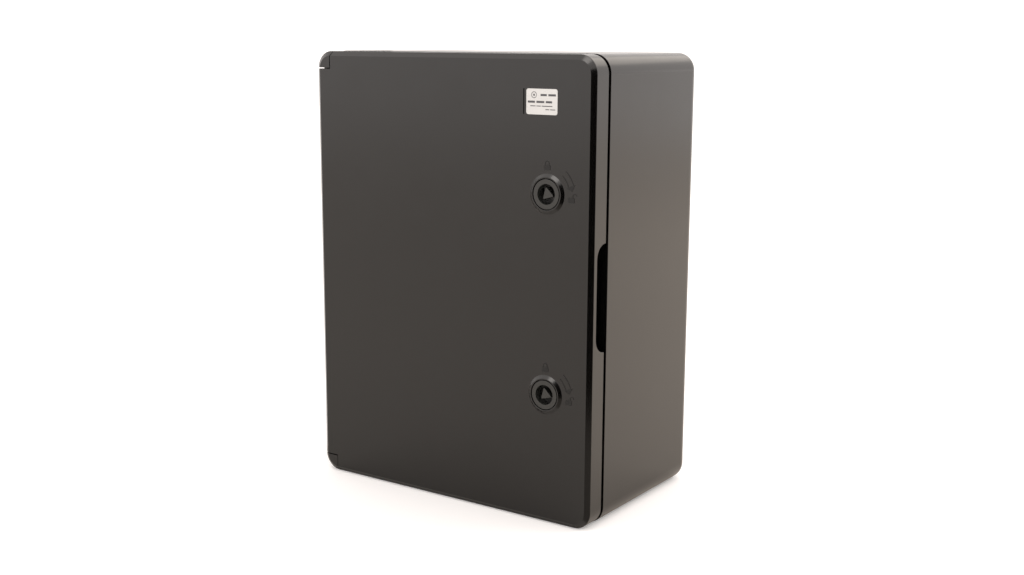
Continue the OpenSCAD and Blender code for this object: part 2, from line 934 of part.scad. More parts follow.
module fuse_carrier(i) {
  x0 = fuse_x(i);
  cover_x0 = x0 + 1;
  cover_x1 = x0 + 2 * module_w - module_gap - 1;
  cover_back = -pivot_back - blade_over + link_fit;
  cavity_r = link_r + link_fit;
  color("#c9ccc9")
  translate([0, carrier_pivot_y, rail_lower_z + carrier_pivot_dz]) difference() {
    union() {
      for (k = [0, 1])
        along_x(pole_x(i, k) - blade_w / 2, pole_x(i, k) + blade_w / 2) carrier_outline();
      block([cover_x0, cover_back - cover_t, cover_foot], [cover_x1, cover_back, cover_top]);
      block(
        [cover_x0 + grip_depth, cover_back - cover_t - grip_depth, grip_z0],
        [cover_x1 - grip_depth, cover_back, grip_z1]
      );
      rod_x(0, 0, x0 + axle_wall, x0 + 2 * module_w - module_gap - axle_wall, axle_r);
    }
    for (k = [0, 1]) {
      x = pole_x(i, k);
      translate([x, link_y, link_z - link_fit]) cylinder(h = link_len + 2 * link_fit, r = cavity_r);
      block(
        [x - cavity_r, link_y, link_z - link_fit],
        [x + cavity_r, carrier_back + cut, link_z + link_len + link_fit]
      );
      block(
        [x - cavity_r, carrier_back - carrier_foot, -carrier_foot - cut],
        [x + cavity_r, carrier_back + cut, link_z + link_len / 2]
      );
    }
  }
}

module fuse_links(i) {
  color("#e8e6e0")
  for (k = [0, 1]) {
    translate([pole_x(i, k), carrier_pivot_y + link_y, rail_lower_z + carrier_pivot_dz + link_z])
      union() {
        cylinder(h = link_cap_len, r = link_r);
        translate([0, 0, link_len - link_cap_len]) cylinder(h = link_cap_len, r = link_r);
        cylinder(h = link_len, r = link_body_r);
      }
  }
}

module fuse_contacts() {
  color("#b87333")
  for (i = [1 : strings], k = [0, 1], z = contact_zs)
    translate([
      pole_x(i, k), carrier_pivot_y + pocket_back - contact_t, rail_lower_z + carrier_pivot_dz + z
    ])
      block([-contact_w / 2, 0, 0], [contact_w / 2, contact_t, contact_h]);
}

module fuse_holder_1() {
  fuse_holder(1);
}

module fuse_holder_2() {
  fuse_holder(2);
}

module fuse_holder_3() {
  fuse_holder(3);
}

module fuse_holder_4() {
  fuse_holder(4);
}

module fuse_carrier_1() {
  fuse_carrier(1);
}

module fuse_carrier_2() {
  fuse_carrier(2);
}

module fuse_carrier_3() {
  fuse_carrier(3);
}

module fuse_carrier_4() {
  fuse_carrier(4);
}

module fuse_links_1() {
  fuse_links(1);
}

module fuse_links_2() {
  fuse_links(2);
}

module fuse_links_3() {
  fuse_links(3);
}

module fuse_links_4() {
  fuse_links(4);
}

// ---- busbars ----

// Comb busbar with one tooth in the upper terminal of each holder's pole k
module busbar(k, y) {
  x0 = pole_x(1, k) - tooth_w / 2 - bar_over;
  x1 = pole_x(strings, k) + tooth_w / 2 + bar_over;
  along_y(y - bar_t / 2, y + bar_t / 2) union() {
    translate([x0, bar_z]) square([x1 - x0, bar_h]);
    for (i = [1 : strings])
      translate([pole_x(i, k) - tooth_w / 2, bar_z - tooth_len]) square([tooth_w, tooth_len + cut]);
  }
}

module busbar_positive() {
  color("#b87333") busbar(0, bar_pos_y);
}

module busbar_negative() {
  color("#b87333") busbar(1, bar_neg_y);
}

// ---- surge protector ----

function plug_pitch() = plug_w + plug_gap;
function plug_x(j) = spd_x0 + spd_w / 2 + (j - (spd_poles + 1) / 2) * plug_pitch();

module surge_protector_base() {
  window_w = spd_poles * plug_pitch() + plug_gap;
  window_x0 = spd_x0 + (spd_w - window_w) / 2;
  window_half = plug_half_h + plug_gap;
  color("#dcdcd8")
  translate([0, 0, rail_upper_z]) difference() {
    along_x(spd_x0, spd_x0 + spd_w)
      module_outline(module_half_h, shoulder_y, window_half_h, module_front_y);
    block(
      [window_x0, module_front_y - cut, -window_half],
      [window_x0 + window_w, plug_back_y + plug_gap, window_half]
    );
    for (j = [1 : spd_poles]) {
      terminal_cuts(plug_x(j), module_half_h, shoulder_y);
      for (z = [-plug_blade_z, plug_blade_z])
        block(
          [plug_x(j) - plug_blade_t / 2 - plug_gap, plug_back_y - cut, z - plug_blade_h / 2 - plug_gap],
          [
            plug_x(j) + plug_blade_t / 2 + plug_gap, plug_back_y + plug_blade_len + plug_gap,
            z + plug_blade_h / 2 + plug_gap
          ]
        );
    }
  }
}

module surge_cartridge(j) {
  x = plug_x(j);
  front = module_front_y - plug_proud;
  color("#8f9a96")
  translate([x, 0, rail_upper_z]) difference() {
    union() {
      block([-plug_w / 2, front, -plug_half_h], [plug_w / 2, plug_back_y, plug_half_h]);
      for (z = [-plug_blade_z, plug_blade_z])
        block(
          [-plug_blade_t / 2, plug_back_y - cut, z - plug_blade_h / 2],
          [plug_blade_t / 2, plug_back_y + plug_blade_len, z + plug_blade_h / 2]
        );
    }
    rod_y(0, 0, front - cut, front + plug_window_d, plug_window_r);
    for (side = [-1, 1], g = [1 : plug_grooves]) {
      z = side * (plug_half_h - 2 * g * plug_groove_h);
      block(
        [-plug_w / 2 - cut, front - cut, z - plug_groove_h / 2],
        [plug_w / 2 + cut, front + plug_groove_d, z + plug_groove_h / 2]
      );
    }
  }
}

module surge_cartridge_1() {
  surge_cartridge(1);
}

module surge_cartridge_2() {
  surge_cartridge(2);
}

module surge_cartridge_3() {
  surge_cartridge(3);
}

// ---- isolator ----

function isolator_pole_x(k) = isolator_x0 + (k - 0.5) * module_w;

module isolator_body() {
  color("#d4d4d0")
  translate([0, 0, rail_upper_z]) difference() {
    along_x(isolator_x0, isolator_x0 + isolator_w)
      module_outline(module_half_h, shoulder_y, window_half_h, module_front_y);
    for (k = [1 : isolator_poles]) terminal_cuts(isolator_pole_x(k), module_half_h, shoulder_y);
    rod_y(knob_x, 0, module_front_y - cut, module_front_y + shaft_len, shaft_r + run_fit);
  }
}

module isolator_shaft() {
  back = module_front_y + shaft_len - knob_gap;
  color("#c0c0bc")
  rod_y(knob_x, rail_upper_z, module_front_y - knob_gap - knob_base_t / 2, back, shaft_r);
}

module isolator_knob() {
  base_back = module_front_y - knob_gap;
  base_front = base_back - knob_base_t;
  color("#b02a24")
  difference() {
    union() {
      rod_y(knob_x, rail_upper_z, base_front, base_back, knob_r);
      along_y(base_front - knob_grip_d, base_front + cut) translate([knob_x, rail_upper_z])
        rounded_rect(
          -knob_grip_w / 2, -knob_r + knob_grip_r, knob_grip_w / 2, knob_r - knob_grip_r, knob_grip_r
        );
    }
    rod_y(knob_x, rail_upper_z, base_back - knob_base_t / 2, base_back + cut, shaft_r);
  }
}

// ---- terminals ----

function terminal_x(n) = terminal_x0 + n * terminal_pitch + terminal_w / 2;

module rail_terminal(n) {
  translate([0, 0, rail_lower_z]) difference() {
    along_x(terminal_x(n) - terminal_w / 2, terminal_x(n) + terminal_w / 2)
      module_outline(terminal_half_h, terminal_front_y, window_half_h, terminal_front_y - cut);
    terminal_cuts(terminal_x(n), terminal_half_h, terminal_front_y);
  }
}

module output_terminal_positive() {
  color("#c23b2e") rail_terminal(0);
}

module output_terminal_negative() {
  color("#2f4f7a") rail_terminal(1);
}

module earth_terminal() {
  color("#6f9a3a") rail_terminal(2);
}

// End clamps on both sides of the modules on each rail
module rail_end_clamps() {
  lower_end = terminal_x0 + 3 * terminal_pitch;
  upper_end = spd_x0 + spd_w;
  places = [
    [fuse_x0 - clamp_w - module_gap, rail_lower_z], [lower_end, rail_lower_z],
    [isolator_x0 - clamp_w - module_gap, rail_upper_z], [upper_end + module_gap, rail_upper_z]
  ];
  color("#c8cac6")
  for (p = places) translate([p[0], 0, p[1]]) difference() {
    along_x(0, clamp_w)
      module_outline(clamp_half_h, clamp_front_y, clamp_half_h / 2, clamp_front_y - 2 * cut);
    rod_y(clamp_w / 2, 0, clamp_front_y - 3 * cut, clamp_front_y + 2 * cut, terminal_screw_r);
  }
}

module terminal_screws() {
  color("#bdbdb8") {
    translate([0, 0, rail_lower_z]) {
      for (i = [1 : strings], k = [0, 1]) terminal_screw_pair(pole_x(i, k), module_half_h);
      for (n = [0 : 2]) terminal_screw_pair(terminal_x(n), terminal_half_h);
    }
    translate([0, 0, rail_upper_z]) {
      for (j = [1 : spd_poles]) terminal_screw_pair(plug_x(j), module_half_h);
      for (k = [1 : isolator_poles]) terminal_screw_pair(isolator_pole_x(k), module_half_h);
    }
  }
}

// ---- gland plate ----

module gland_screw_places() {
  x = gland_plate_w / 2 - gland_screw_inset;
  y = gland_plate_d / 2 - gland_screw_inset;
  for (sx = [-x, x], sy = [-y, y]) translate([sx, gland_y + sy, 0]) children();
}

module string_places() {
  count = 2 * strings / string_rows;
  for (n = [0 : count - 1], row = [0 : string_rows - 1])
    translate([
      -gland_hole_w / 2 + string_grommet_in + string_grommet_pitch * n,
      gland_y + (row - 0.5) * string_row_pitch, 0
    ]) children();
}

module output_places() {
  for (n = [0 : 1])
    translate([gland_hole_w / 2 - output_grommet_in - output_grommet_pitch * n, gland_y, 0])
      children();
}

module gland_plate() {
  color("#4f4b48")
  difference() {
    translate([-gland_plate_w / 2, gland_y - gland_plate_d / 2, gland_plate_z])
      cube([gland_plate_w, gland_plate_d, gland_plate_t]);
    gland_screw_places() translate([0, 0, gland_plate_z - cut])
      cylinder(h = gland_plate_t + 2 * cut, r = gland_screw_r);
    string_places() translate([0, 0, gland_plate_z - cut])
      cylinder(h = gland_plate_t + 2 * cut, r = string_grommet_r);
    output_places() translate([0, 0, gland_plate_z - cut])
      cylinder(h = gland_plate_t + 2 * cut, r = output_grommet_r);
  }
}

module gland_plate_gasket() {
  color("#262626")
  difference() {
    translate([-gland_plate_w / 2, gland_y - gland_plate_d / 2, gland_seal_z])
      cube([gland_plate_w, gland_plate_d, gland_seal_t]);
    translate([-gland_hole_w / 2, gland_y - gland_hole_d / 2, gland_seal_z - cut])
      cube([gland_hole_w, gland_hole_d, gland_seal_t + 2 * cut]);
    gland_screw_places() translate([0, 0, gland_seal_z - cut])
      cylinder(h = gland_seal_t + 2 * cut, r = gland_boss_r);
  }
}

module gland_plate_screws() {
  top_z = gland_plate_z + gland_plate_t;
  slot_w = 1;
  slot_d = 1.2;
  color("#c9c9c4")
  gland_screw_places() difference() {
    union() {
      translate([0, 0, gland_screw_foot]) cylinder(h = top_z - gland_screw_foot + cut, r = gland_screw_r);
      translate([0, 0, top_z]) cylinder(h = gland_screw_head_h, r = gland_screw_head_r);
    }
    block(
      [-gland_screw_head_r, -slot_w / 2, top_z + gland_screw_head_h - slot_d],
      [gland_screw_head_r, slot_w / 2, top_z + gland_screw_head_h + cut]
    );
  }
}

// Rubber grommet snapped into a hole of radius r, closed by a thin membrane
module grommet(r) {
  z0 = gland_plate_z - grommet_lip;
  z1 = gland_plate_z + gland_plate_t;
  lip_r = r + grommet_lip;
  top_r = r / 2;
  translate([0, 0, z0]) rotate_extrude() polygon([
    [r - membrane_t, 0], [lip_r, 0], [lip_r, grommet_lip], [r, grommet_lip],
    [r, z1 - z0], [lip_r, z1 - z0], [lip_r, z1 - z0 + grommet_lip],
    [r, z1 - z0 + grommet_lip], [top_r, z1 - z0 + grommet_lip + grommet_rise],
    [0, z1 - z0 + grommet_lip + grommet_rise],
    [0, z1 - z0 + grommet_lip + grommet_rise - membrane_t],
    [top_r - membrane_t / 2, z1 - z0 + grommet_lip + grommet_rise - membrane_t],
    [r - membrane_t, z1 - z0 + grommet_lip]
  ]);
}

module string_grommets() {
  color("#1f1f1f") string_places() grommet(string_grommet_r);
}

module output_grommets() {
  color("#1f1f1f") output_places() grommet(output_grommet_r);
}

// ---- wires ----

function unit(v) = v / norm(v);
function tangent(path, i) =
  unit(path[min(i + 1, len(path) - 1)] - path[max(i - 1, 0)]);

// Ring of points around a path point; the path never runs along Y
function ring(path, i, r) =
  let (t = tangent(path, i), side = unit(cross(t, [0, 1, 0])), up = cross(side, t))
  [for (k = [0 : wire_sides - 1]) let (a = 360 * k / wire_sides)
    path[i] + r * (cos(a) * side + sin(a) * up)];

// Rounds a hand-drawn route by cutting its corners once
function soften(p) = concat(
  [p[0]],
  [for (i = [1 : len(p) - 2], t = [-0.25, 0.25])
    t < 0 ? p[i] + (p[i - 1] - p[i]) * -t : p[i] + (p[i + 1] - p[i]) * t],
  [p[len(p) - 1]]
);

module wire(route) {
  path = soften(route);
  n = len(path);
  s = wire_sides;
  points = [for (i = [0 : n - 1]) each ring(path, i, wire_r)];
  sides = [for (i = [0 : n - 2], k = [0 : s - 1])
    [i * s + k, i * s + (k + 1) % s, (i + 1) * s + (k + 1) % s, (i + 1) * s + k]];
  start = [[for (k = [s - 1 : -1 : 0]) k]];
  finish = [[for (k = [0 : s - 1]) (n - 1) * s + k]];
  polyhedron(points, concat(sides, start, finish));
}

// Short lead from a busbar up to the bottom terminal of a module
function riser(x, x_bar, y_bar) = [
  [x_bar, y_bar, bar_top_z], [x_bar, y_bar, bar_top_z + 12], [x, entry_y, iso_bottom_z - 20],
  [x, entry_y, iso_bottom_z], [x, entry_y, iso_bottom_z + wire_in]
];

// Lead from the isolator's top terminal, around the right side, to an output terminal.
// The loop runs at depth y, so that the two leads pass each other where they cross.
function loop_route(x, top, side, low, x_out, y) = [
  [x, entry_y, iso_top_z - wire_in], [x, entry_y, iso_top_z + 4], [x + 2, y, top - 6],
  [x + 10, y, top], [side - 12, y, top], [side - 2, y, top - 4],
  [side, y, top - 14], [side, y, low + 16], [side - 4, y, low + 4],
  [side - 14, y, low], [x_out + 12, y, low], [x_out + 3, y, low - 3],
  [x_out, y, low - 12], [x_out, entry_y, term_top_z + 3], [x_out, entry_y, term_top_z - wire_in]
];

module wires_positive() {
  color("#b3261e") {
    wire(riser(isolator_pole_x(1), isolator_pole_x(1), bar_pos_y));
    wire(riser(plug_x(1), plug_x(1) - 4, bar_pos_y));
    wire(loop_route(isolator_pole_x(1), 354, 118, 192, terminal_x(0), entry_y - wire_step));
  }
}

module wires_negative() {
  color("#22303f") {
    wire(riser(isolator_pole_x(3), isolator_pole_x(3), bar_neg_y));
    wire(riser(plug_x(3), plug_x(3) - 2, bar_neg_y));
    wire(loop_route(isolator_pole_x(3), 342, 107, 181, terminal_x(1), entry_y));
  }
}

module wire_earth() {
  x0 = plug_x(2);
  x1 = terminal_x(2);
  behind = entry_y + 11;
  color("#7a9a2e")
  wire([
    [x0, entry_y, iso_bottom_z + wire_in], [x0, entry_y, iso_bottom_z - 6],
    [x0 + 4, entry_y + 4, iso_bottom_z - 18], [x0 + 14, behind, iso_bottom_z - 28],
    [x1 - 12, behind, iso_bottom_z - 36], [x1 - 2, behind, iso_bottom_z - 46],
    [x1, behind, term_top_z + 18], [x1, entry_y + 3, term_top_z + 6],
    [x1, entry_y, term_top_z - 1], [x1, entry_y, term_top_z - wire_in]
  ]);
}

base();
door();
door_gasket();
hinge_lug_top();
hinge_lug_bottom();
hinge_pin_top();
hinge_pin_bottom();
hinge_lug_screws();
rating_label();
lock_rotor_upper();
lock_rotor_lower();
lock_seal_rings();
lock_retainer_upper();
lock_retainer_lower();
lock_cam_upper();
lock_cam_lower();
cam_screw_upper();
cam_screw_lower();
mounting_plate();
mounting_plate_screws();
din_rail_upper();
din_rail_lower();
din_rail_screws();
fuse_holder_1();
fuse_holder_2();
fuse_holder_3();
fuse_holder_4();
fuse_carrier_1();
fuse_carrier_2();
fuse_carrier_3();
fuse_carrier_4();
fuse_links_1();
fuse_links_2();
fuse_links_3();
fuse_links_4();
fuse_contacts();
busbar_positive();
busbar_negative();
surge_protector_base();
surge_cartridge_1();
surge_cartridge_2();
surge_cartridge_3();
isolator_body();
isolator_knob();
isolator_shaft();
output_terminal_positive();
output_terminal_negative();
earth_terminal();
rail_end_clamps();
terminal_screws();
wires_positive();
wires_negative();
wire_earth();
gland_plate();
gland_plate_gasket();
gland_plate_screws();
string_grommets();
output_grommets();
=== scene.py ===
import math

import bmesh
import bpy
from mathutils import Matrix, Vector


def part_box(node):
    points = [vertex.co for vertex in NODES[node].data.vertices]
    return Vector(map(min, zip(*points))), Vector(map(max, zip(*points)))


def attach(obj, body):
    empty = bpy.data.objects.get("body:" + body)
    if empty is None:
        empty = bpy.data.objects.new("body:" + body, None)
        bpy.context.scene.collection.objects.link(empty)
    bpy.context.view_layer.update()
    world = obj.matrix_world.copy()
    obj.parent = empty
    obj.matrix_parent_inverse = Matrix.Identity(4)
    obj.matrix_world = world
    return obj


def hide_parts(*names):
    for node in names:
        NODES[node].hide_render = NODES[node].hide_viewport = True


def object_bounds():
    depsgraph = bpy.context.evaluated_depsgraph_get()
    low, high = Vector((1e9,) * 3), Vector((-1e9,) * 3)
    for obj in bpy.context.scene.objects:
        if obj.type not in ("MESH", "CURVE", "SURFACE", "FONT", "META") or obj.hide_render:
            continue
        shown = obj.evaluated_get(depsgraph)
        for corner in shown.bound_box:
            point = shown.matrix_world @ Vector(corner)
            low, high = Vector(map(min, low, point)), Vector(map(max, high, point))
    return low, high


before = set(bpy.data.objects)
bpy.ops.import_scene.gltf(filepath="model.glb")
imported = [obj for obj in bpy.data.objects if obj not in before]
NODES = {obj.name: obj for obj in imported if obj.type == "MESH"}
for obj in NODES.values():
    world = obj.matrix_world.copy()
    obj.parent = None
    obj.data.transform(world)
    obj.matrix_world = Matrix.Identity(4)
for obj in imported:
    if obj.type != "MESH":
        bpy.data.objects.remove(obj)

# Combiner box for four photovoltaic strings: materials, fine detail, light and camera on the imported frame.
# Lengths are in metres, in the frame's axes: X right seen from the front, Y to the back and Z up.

MM = 0.001
CAD_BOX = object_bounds()


# ---- materials ----

class Graph:
    """Short calls that build one material's nodes."""

    def __init__(self, name):
        self.material = bpy.data.materials.new(name)
        self.material.use_nodes = True
        self.tree = self.material.node_tree
        self.shader = self.tree.nodes["Principled BSDF"]
        self.place = self.node("ShaderNodeTexCoord").outputs["Object"]

    def node(self, kind, **settings):
        made = self.tree.nodes.new(kind)
        for key, value in settings.items():
            setattr(made, key, value)
        return made

    def feed(self, socket, value):
        """Links a socket, or sets it to a plain value."""
        if isinstance(value, bpy.types.NodeSocket):
            self.tree.links.new(value, socket)
        else:
            socket.default_value = value

    def stretched(self, scale):
        mapping = self.node("ShaderNodeMapping")
        self.feed(mapping.inputs["Vector"], self.place)
        self.feed(mapping.inputs["Scale"], scale)
        return mapping.outputs["Vector"]

    def noise(self, scale, detail=2.0, stretch=None):
        made = self.node("ShaderNodeTexNoise")
        self.feed(made.inputs["Vector"], self.stretched(stretch) if stretch else self.place)
        self.feed(made.inputs["Scale"], scale)
        self.feed(made.inputs["Detail"], detail)
        return made.outputs["Fac"]

    def cells(self, scale):
        made = self.node("ShaderNodeTexVoronoi")
        self.feed(made.inputs["Vector"], self.place)
        self.feed(made.inputs["Scale"], scale)
        return made.outputs["Color"]

    def span(self, value, low, high, to_low, to_high):
        made = self.node("ShaderNodeMapRange", clamp=True)
        for socket, number in zip(made.inputs, (value, low, high, to_low, to_high)):
            self.feed(socket, number)
        return made.outputs["Result"]

    def maths(self, operation, a, b):
        made = self.node("ShaderNodeMath", operation=operation, use_clamp=True)
        self.feed(made.inputs[0], a)
        self.feed(made.inputs[1], b)
        return made.outputs["Value"]

    def mix(self, share, a, b):
        """Colour a, going to colour b as share goes to 1."""
        made = self.node("ShaderNodeMix", data_type="RGBA")
        self.feed(made.inputs["Factor"], share)
        self.feed(made.inputs["A"], a)
        self.feed(made.inputs["B"], b)
        return made.outputs["Result"]

    def round_normal(self, radius):
        made = self.node("ShaderNodeBevel", samples=4)
        self.feed(made.inputs["Radius"], radius)
        return made.outputs["Normal"]

    def edges(self, radius):
        """1 along the edges of the shape and 0 on its flats."""
        dot = self.node("ShaderNodeVectorMath", operation="DOT_PRODUCT")
        self.feed(dot.inputs[0], self.round_normal(radius))
        self.feed(dot.inputs[1], self.node("ShaderNodeNewGeometry").outputs["Normal"])
        return self.span(dot.outputs["Value"], 0.86, 0.995, 1.0, 0.0)

    def bump(self, height, strength, depth, normal):
        made = self.node("ShaderNodeBump")
        self.feed(made.inputs["Strength"], strength)
        self.feed(made.inputs["Distance"], depth)
        self.feed(made.inputs["Height"], height)
        self.feed(made.inputs["Normal"], normal)
        return made.outputs["Normal"]

    def set(self, **values):
        """Sets or links the shader's inputs; an underscore stands for a space."""
        for key, value in values.items():
            self.feed(self.shader.inputs[key.replace("_", " ")], value)
        return self.material


def rgb(red, green, blue):
    return (red, green, blue, 1.0)


def toned(colour, factor):
    return rgb(*(min(1.0, c * factor) for c in colour[:3]))


def moulded(name, colour, rough, grain=0.25, wear=1.35, edge=0.5 * MM, cloud=0.10, gloss=0.5):
    """Injection-moulded plastic: spark-eroded grain, faint flow clouds and edges rubbed lighter."""
    g = Graph(name)
    flow = g.noise(9.0, 3.0, stretch=(1.0, 1.0, 0.45))
    speck = g.noise(1400.0, 2.0)
    handled = g.noise(38.0, 4.0)
    tone = g.mix(g.span(flow, 0.3, 0.7, 0.0, 1.0), toned(colour, 1 - cloud), toned(colour, 1 + cloud))
    tone = g.mix(g.span(speck, 0.45, 0.75, 0.0, 0.35), tone, toned(colour, 1.25))
    worn = g.maths("MULTIPLY", g.edges(edge), g.span(handled, 0.35, 0.65, 0.25, 1.0))
    tone = g.mix(worn, tone, toned(colour, wear))
    uneven = g.maths("ADD", handled, g.maths("MULTIPLY", speck, 0.3))
    roughness = g.span(uneven, 0.3, 0.95, rough - 0.03, rough + 0.03)
    surface = g.bump(speck, grain, 0.03 * MM, g.round_normal(edge))
    return g.set(Base_Color=tone, Roughness=roughness, Normal=surface, Specular_IOR_Level=gloss, IOR=1.54)


def rolled_metal(name, colour, rough, spangle=0.0, brushed=0.3, edge=0.3 * MM):
    """Metal with fine brushing along X, dull patches, bright edges and, if asked for, zinc spangle."""
    g = Graph(name)
    lines = g.noise(260.0, 3.0, stretch=(0.05, 1.0, 1.0))
    patch = g.noise(22.0, 5.0)
    crystal = g.cells(95.0)
    tone = g.mix(g.span(patch, 0.35, 0.7, 0.0, 1.0), toned(colour, 1.06), toned(colour, 0.84))
    tone = g.mix(g.span(crystal, 0.2, 0.9, 0.0, spangle), tone, toned(colour, 1.3))
    tone = g.mix(g.maths("MULTIPLY", g.edges(edge), 0.6), tone, toned(colour, 1.25))
    uneven = g.maths("ADD", g.maths("MULTIPLY", lines, 0.5), g.maths("MULTIPLY", patch, 0.6))
    roughness = g.span(uneven, 0.3, 0.8, rough - 0.08, rough + 0.12)
    surface = g.bump(lines, brushed, 0.02 * MM, g.round_normal(edge))
    return g.set(Base_Color=tone, Roughness=roughness, Normal=surface, Metallic=1.0)


def soft_rubber(name, colour):
    """Matt rubber with a mottled skin and a little dust in patches."""
    g = Graph(name)
    skin = g.noise(700.0, 4.0)
    dust = g.noise(55.0, 5.0)
    tone = g.mix(g.span(dust, 0.45, 0.75, 0.0, 0.5), colour, toned(colour, 2.2))
    tone = g.mix(g.edges(0.4 * MM), tone, toned(colour, 1.6))
    surface = g.bump(skin, 0.35, 0.06 * MM, g.round_normal(0.4 * MM))
    return g.set(Base_Color=tone, Roughness=g.span(dust, 0.3, 0.7, 0.62, 0.85), Normal=surface,
                 Specular_IOR_Level=0.35)


def film(name, colour, rough, gloss=0.5):
    """Label film or printed ink: faint fibre, a slightly uneven coating and darker edges."""
    g = Graph(name)
    fibre = g.noise(900.0, 3.0, stretch=(1.0, 1.0, 0.3))
    stain = g.noise(80.0, 3.0)
    tone = g.mix(g.span(stain, 0.4, 0.75, 0.0, 0.5), colour, toned(colour, 0.93))
    tone = g.mix(g.span(fibre, 0.4, 0.7, 0.0, 0.4), tone, toned(colour, 0.96))
    tone = g.mix(g.maths("MULTIPLY", g.edges(0.3 * MM), 0.5), tone, toned(colour, 0.85))
    surface = g.bump(fibre, 0.12, 0.02 * MM, g.round_normal(0.2 * MM))
    roughness = g.span(stain, 0.3, 0.7, rough - 0.06, rough + 0.08)
    return g.set(Base_Color=tone, Roughness=roughness, Normal=surface, Specular_IOR_Level=gloss)


def lens(name, colour):
    """Tinted plastic of an indicator window, under a clear coat."""
    g = Graph(name)
    depth = g.noise(300.0, 2.0)
    tone = g.mix(g.span(depth, 0.3, 0.7, 0.0, 1.0), colour, toned(colour, 1.3))
    return g.set(Base_Color=tone, Roughness=g.span(depth, 0.3, 0.7, 0.08, 0.16), Coat_Weight=0.6,
                 Normal=g.round_normal(0.2 * MM))


# The enclosure's plastic is almost black: what is seen of it is the reflection in its smooth skin.
SMOOTH = {"grain": 0.12, "gloss": 0.59}

BLACK = moulded("enclosure_black_plastic", rgb(0.0013, 0.0011, 0.0009), 0.22,
                wear=2.5, edge=0.3 * MM, **SMOOTH)
LUG_BLACK = moulded("lug_black_plastic", rgb(0.0016, 0.0014, 0.0012), 0.23,
                    wear=2.5, edge=0.3 * MM, **SMOOTH)
ROTOR_GREY = moulded("rotor_grey_plastic", rgb(0.0145, 0.0150, 0.0135), 0.26,
                     wear=1.6, edge=0.2 * MM, **SMOOTH)
MARK_BLACK = moulded("mark_satin_plastic", rgb(0.0013, 0.0012, 0.0011), 0.45,
                     grain=0.3, wear=2.0, edge=0.1 * MM, gloss=0.44)
RUBBER = soft_rubber("seal_rubber", rgb(0.018, 0.018, 0.018))
STEEL = rolled_metal("zinc_plated_steel", rgb(0.62, 0.62, 0.60), 0.34)
SHEET = rolled_metal("galvanised_sheet", rgb(0.62, 0.64, 0.65), 0.42, spangle=0.55, brushed=0.12)
COPPER = rolled_metal("bare_copper", rgb(0.58, 0.25, 0.13), 0.30)
PIN_STEEL = rolled_metal("blackened_pin_steel", rgb(0.035, 0.034, 0.032), 0.32)
NICKEL = rolled_metal("nickel_cap", rgb(0.66, 0.63, 0.58), 0.24)
MODULE = moulded("module_grey_plastic", rgb(0.60, 0.61, 0.60), 0.46, wear=1.12, cloud=0.04)
CARRIER = moulded("carrier_grey_plastic", rgb(0.36, 0.38, 0.40), 0.44, wear=1.2, cloud=0.05)
CARTRIDGE = moulded("cartridge_green_plastic", rgb(0.11, 0.25, 0.17), 0.44, wear=1.3, cloud=0.06)
KNOB = moulded("knob_red_plastic", rgb(0.52, 0.035, 0.03), 0.30, wear=1.3, cloud=0.05)
TERMINAL_RED = moulded("terminal_red_plastic", rgb(0.50, 0.06, 0.045), 0.42, wear=1.25)
TERMINAL_BLUE = moulded("terminal_blue_plastic", rgb(0.055, 0.13, 0.30), 0.42, wear=1.3)
TERMINAL_GREEN = moulded("terminal_green_plastic", rgb(0.16, 0.32, 0.07), 0.42, wear=1.25)
WIRE_RED = moulded("wire_red_insulation", rgb(0.42, 0.03, 0.025), 0.38, grain=0.1, wear=1.1)
WIRE_BLACK = moulded("wire_black_insulation", rgb(0.02, 0.022, 0.026), 0.38, grain=0.1, wear=1.3)
WIRE_GREEN = moulded("wire_green_insulation", rgb(0.20, 0.36, 0.05), 0.38, grain=0.1, wear=1.1)
CERAMIC = moulded("fuse_ceramic", rgb(0.78, 0.77, 0.73), 0.26, grain=0.06, wear=1.05, cloud=0.03)
WHITE = film("white_label_film", rgb(0.86, 0.86, 0.84), 0.42)
RATING_FILM = film("rating_label_film", rgb(0.57, 0.565, 0.55), 0.42)
INK = film("grey_ink", rgb(0.07, 0.07, 0.075), 0.5)
# Near-black and almost unreflecting: the dark line beside the label.
UNREFLECTING_BLACK = film("unreflecting_black_strip", rgb(0.002, 0.002, 0.002), 0.5, gloss=0.08)
GREEN_LENS = lens("green_lens", rgb(0.05, 0.45, 0.12))
RED_LENS = lens("red_lens", rgb(0.55, 0.04, 0.03))


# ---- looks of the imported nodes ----

def dress(nodes, material, width):
    """Gives nodes a material and small rounded edges of this width."""
    for node in nodes:
        part = NODES[node]
        for slot in part.material_slots:
            slot.material = material
        round_edges(part, width)


def round_edges(part, width):
    """Joins the facets of each flat face, then bevels the sharp edges between faces."""
    weld = part.modifiers.new("weld", "WELD")
    weld.merge_threshold = 0.002 * MM
    flat = part.modifiers.new("merge_flats", "DECIMATE")
    flat.decimate_type = "DISSOLVE"
    flat.angle_limit = math.radians(0.5)
    bevel = part.modifiers.new("round_edges", "BEVEL")
    bevel.width = width
    bevel.segments = 2
    bevel.limit_method = "ANGLE"
    bevel.angle_limit = math.radians(38)
    bevel.use_clamp_overlap = True
    part.modifiers.new("even_normals", "WEIGHTED_NORMAL").keep_sharp = True


def numbered(stem, count):
    return [f"{stem}_{n}" for n in range(1, count + 1)]


def both(stem, ends=("upper", "lower")):
    return [f"{stem}_{end}" for end in ends]


STRINGS = 4
POLES = 3
FINE = 0.12 * MM  # rounding of the edges of metal and small rubber parts

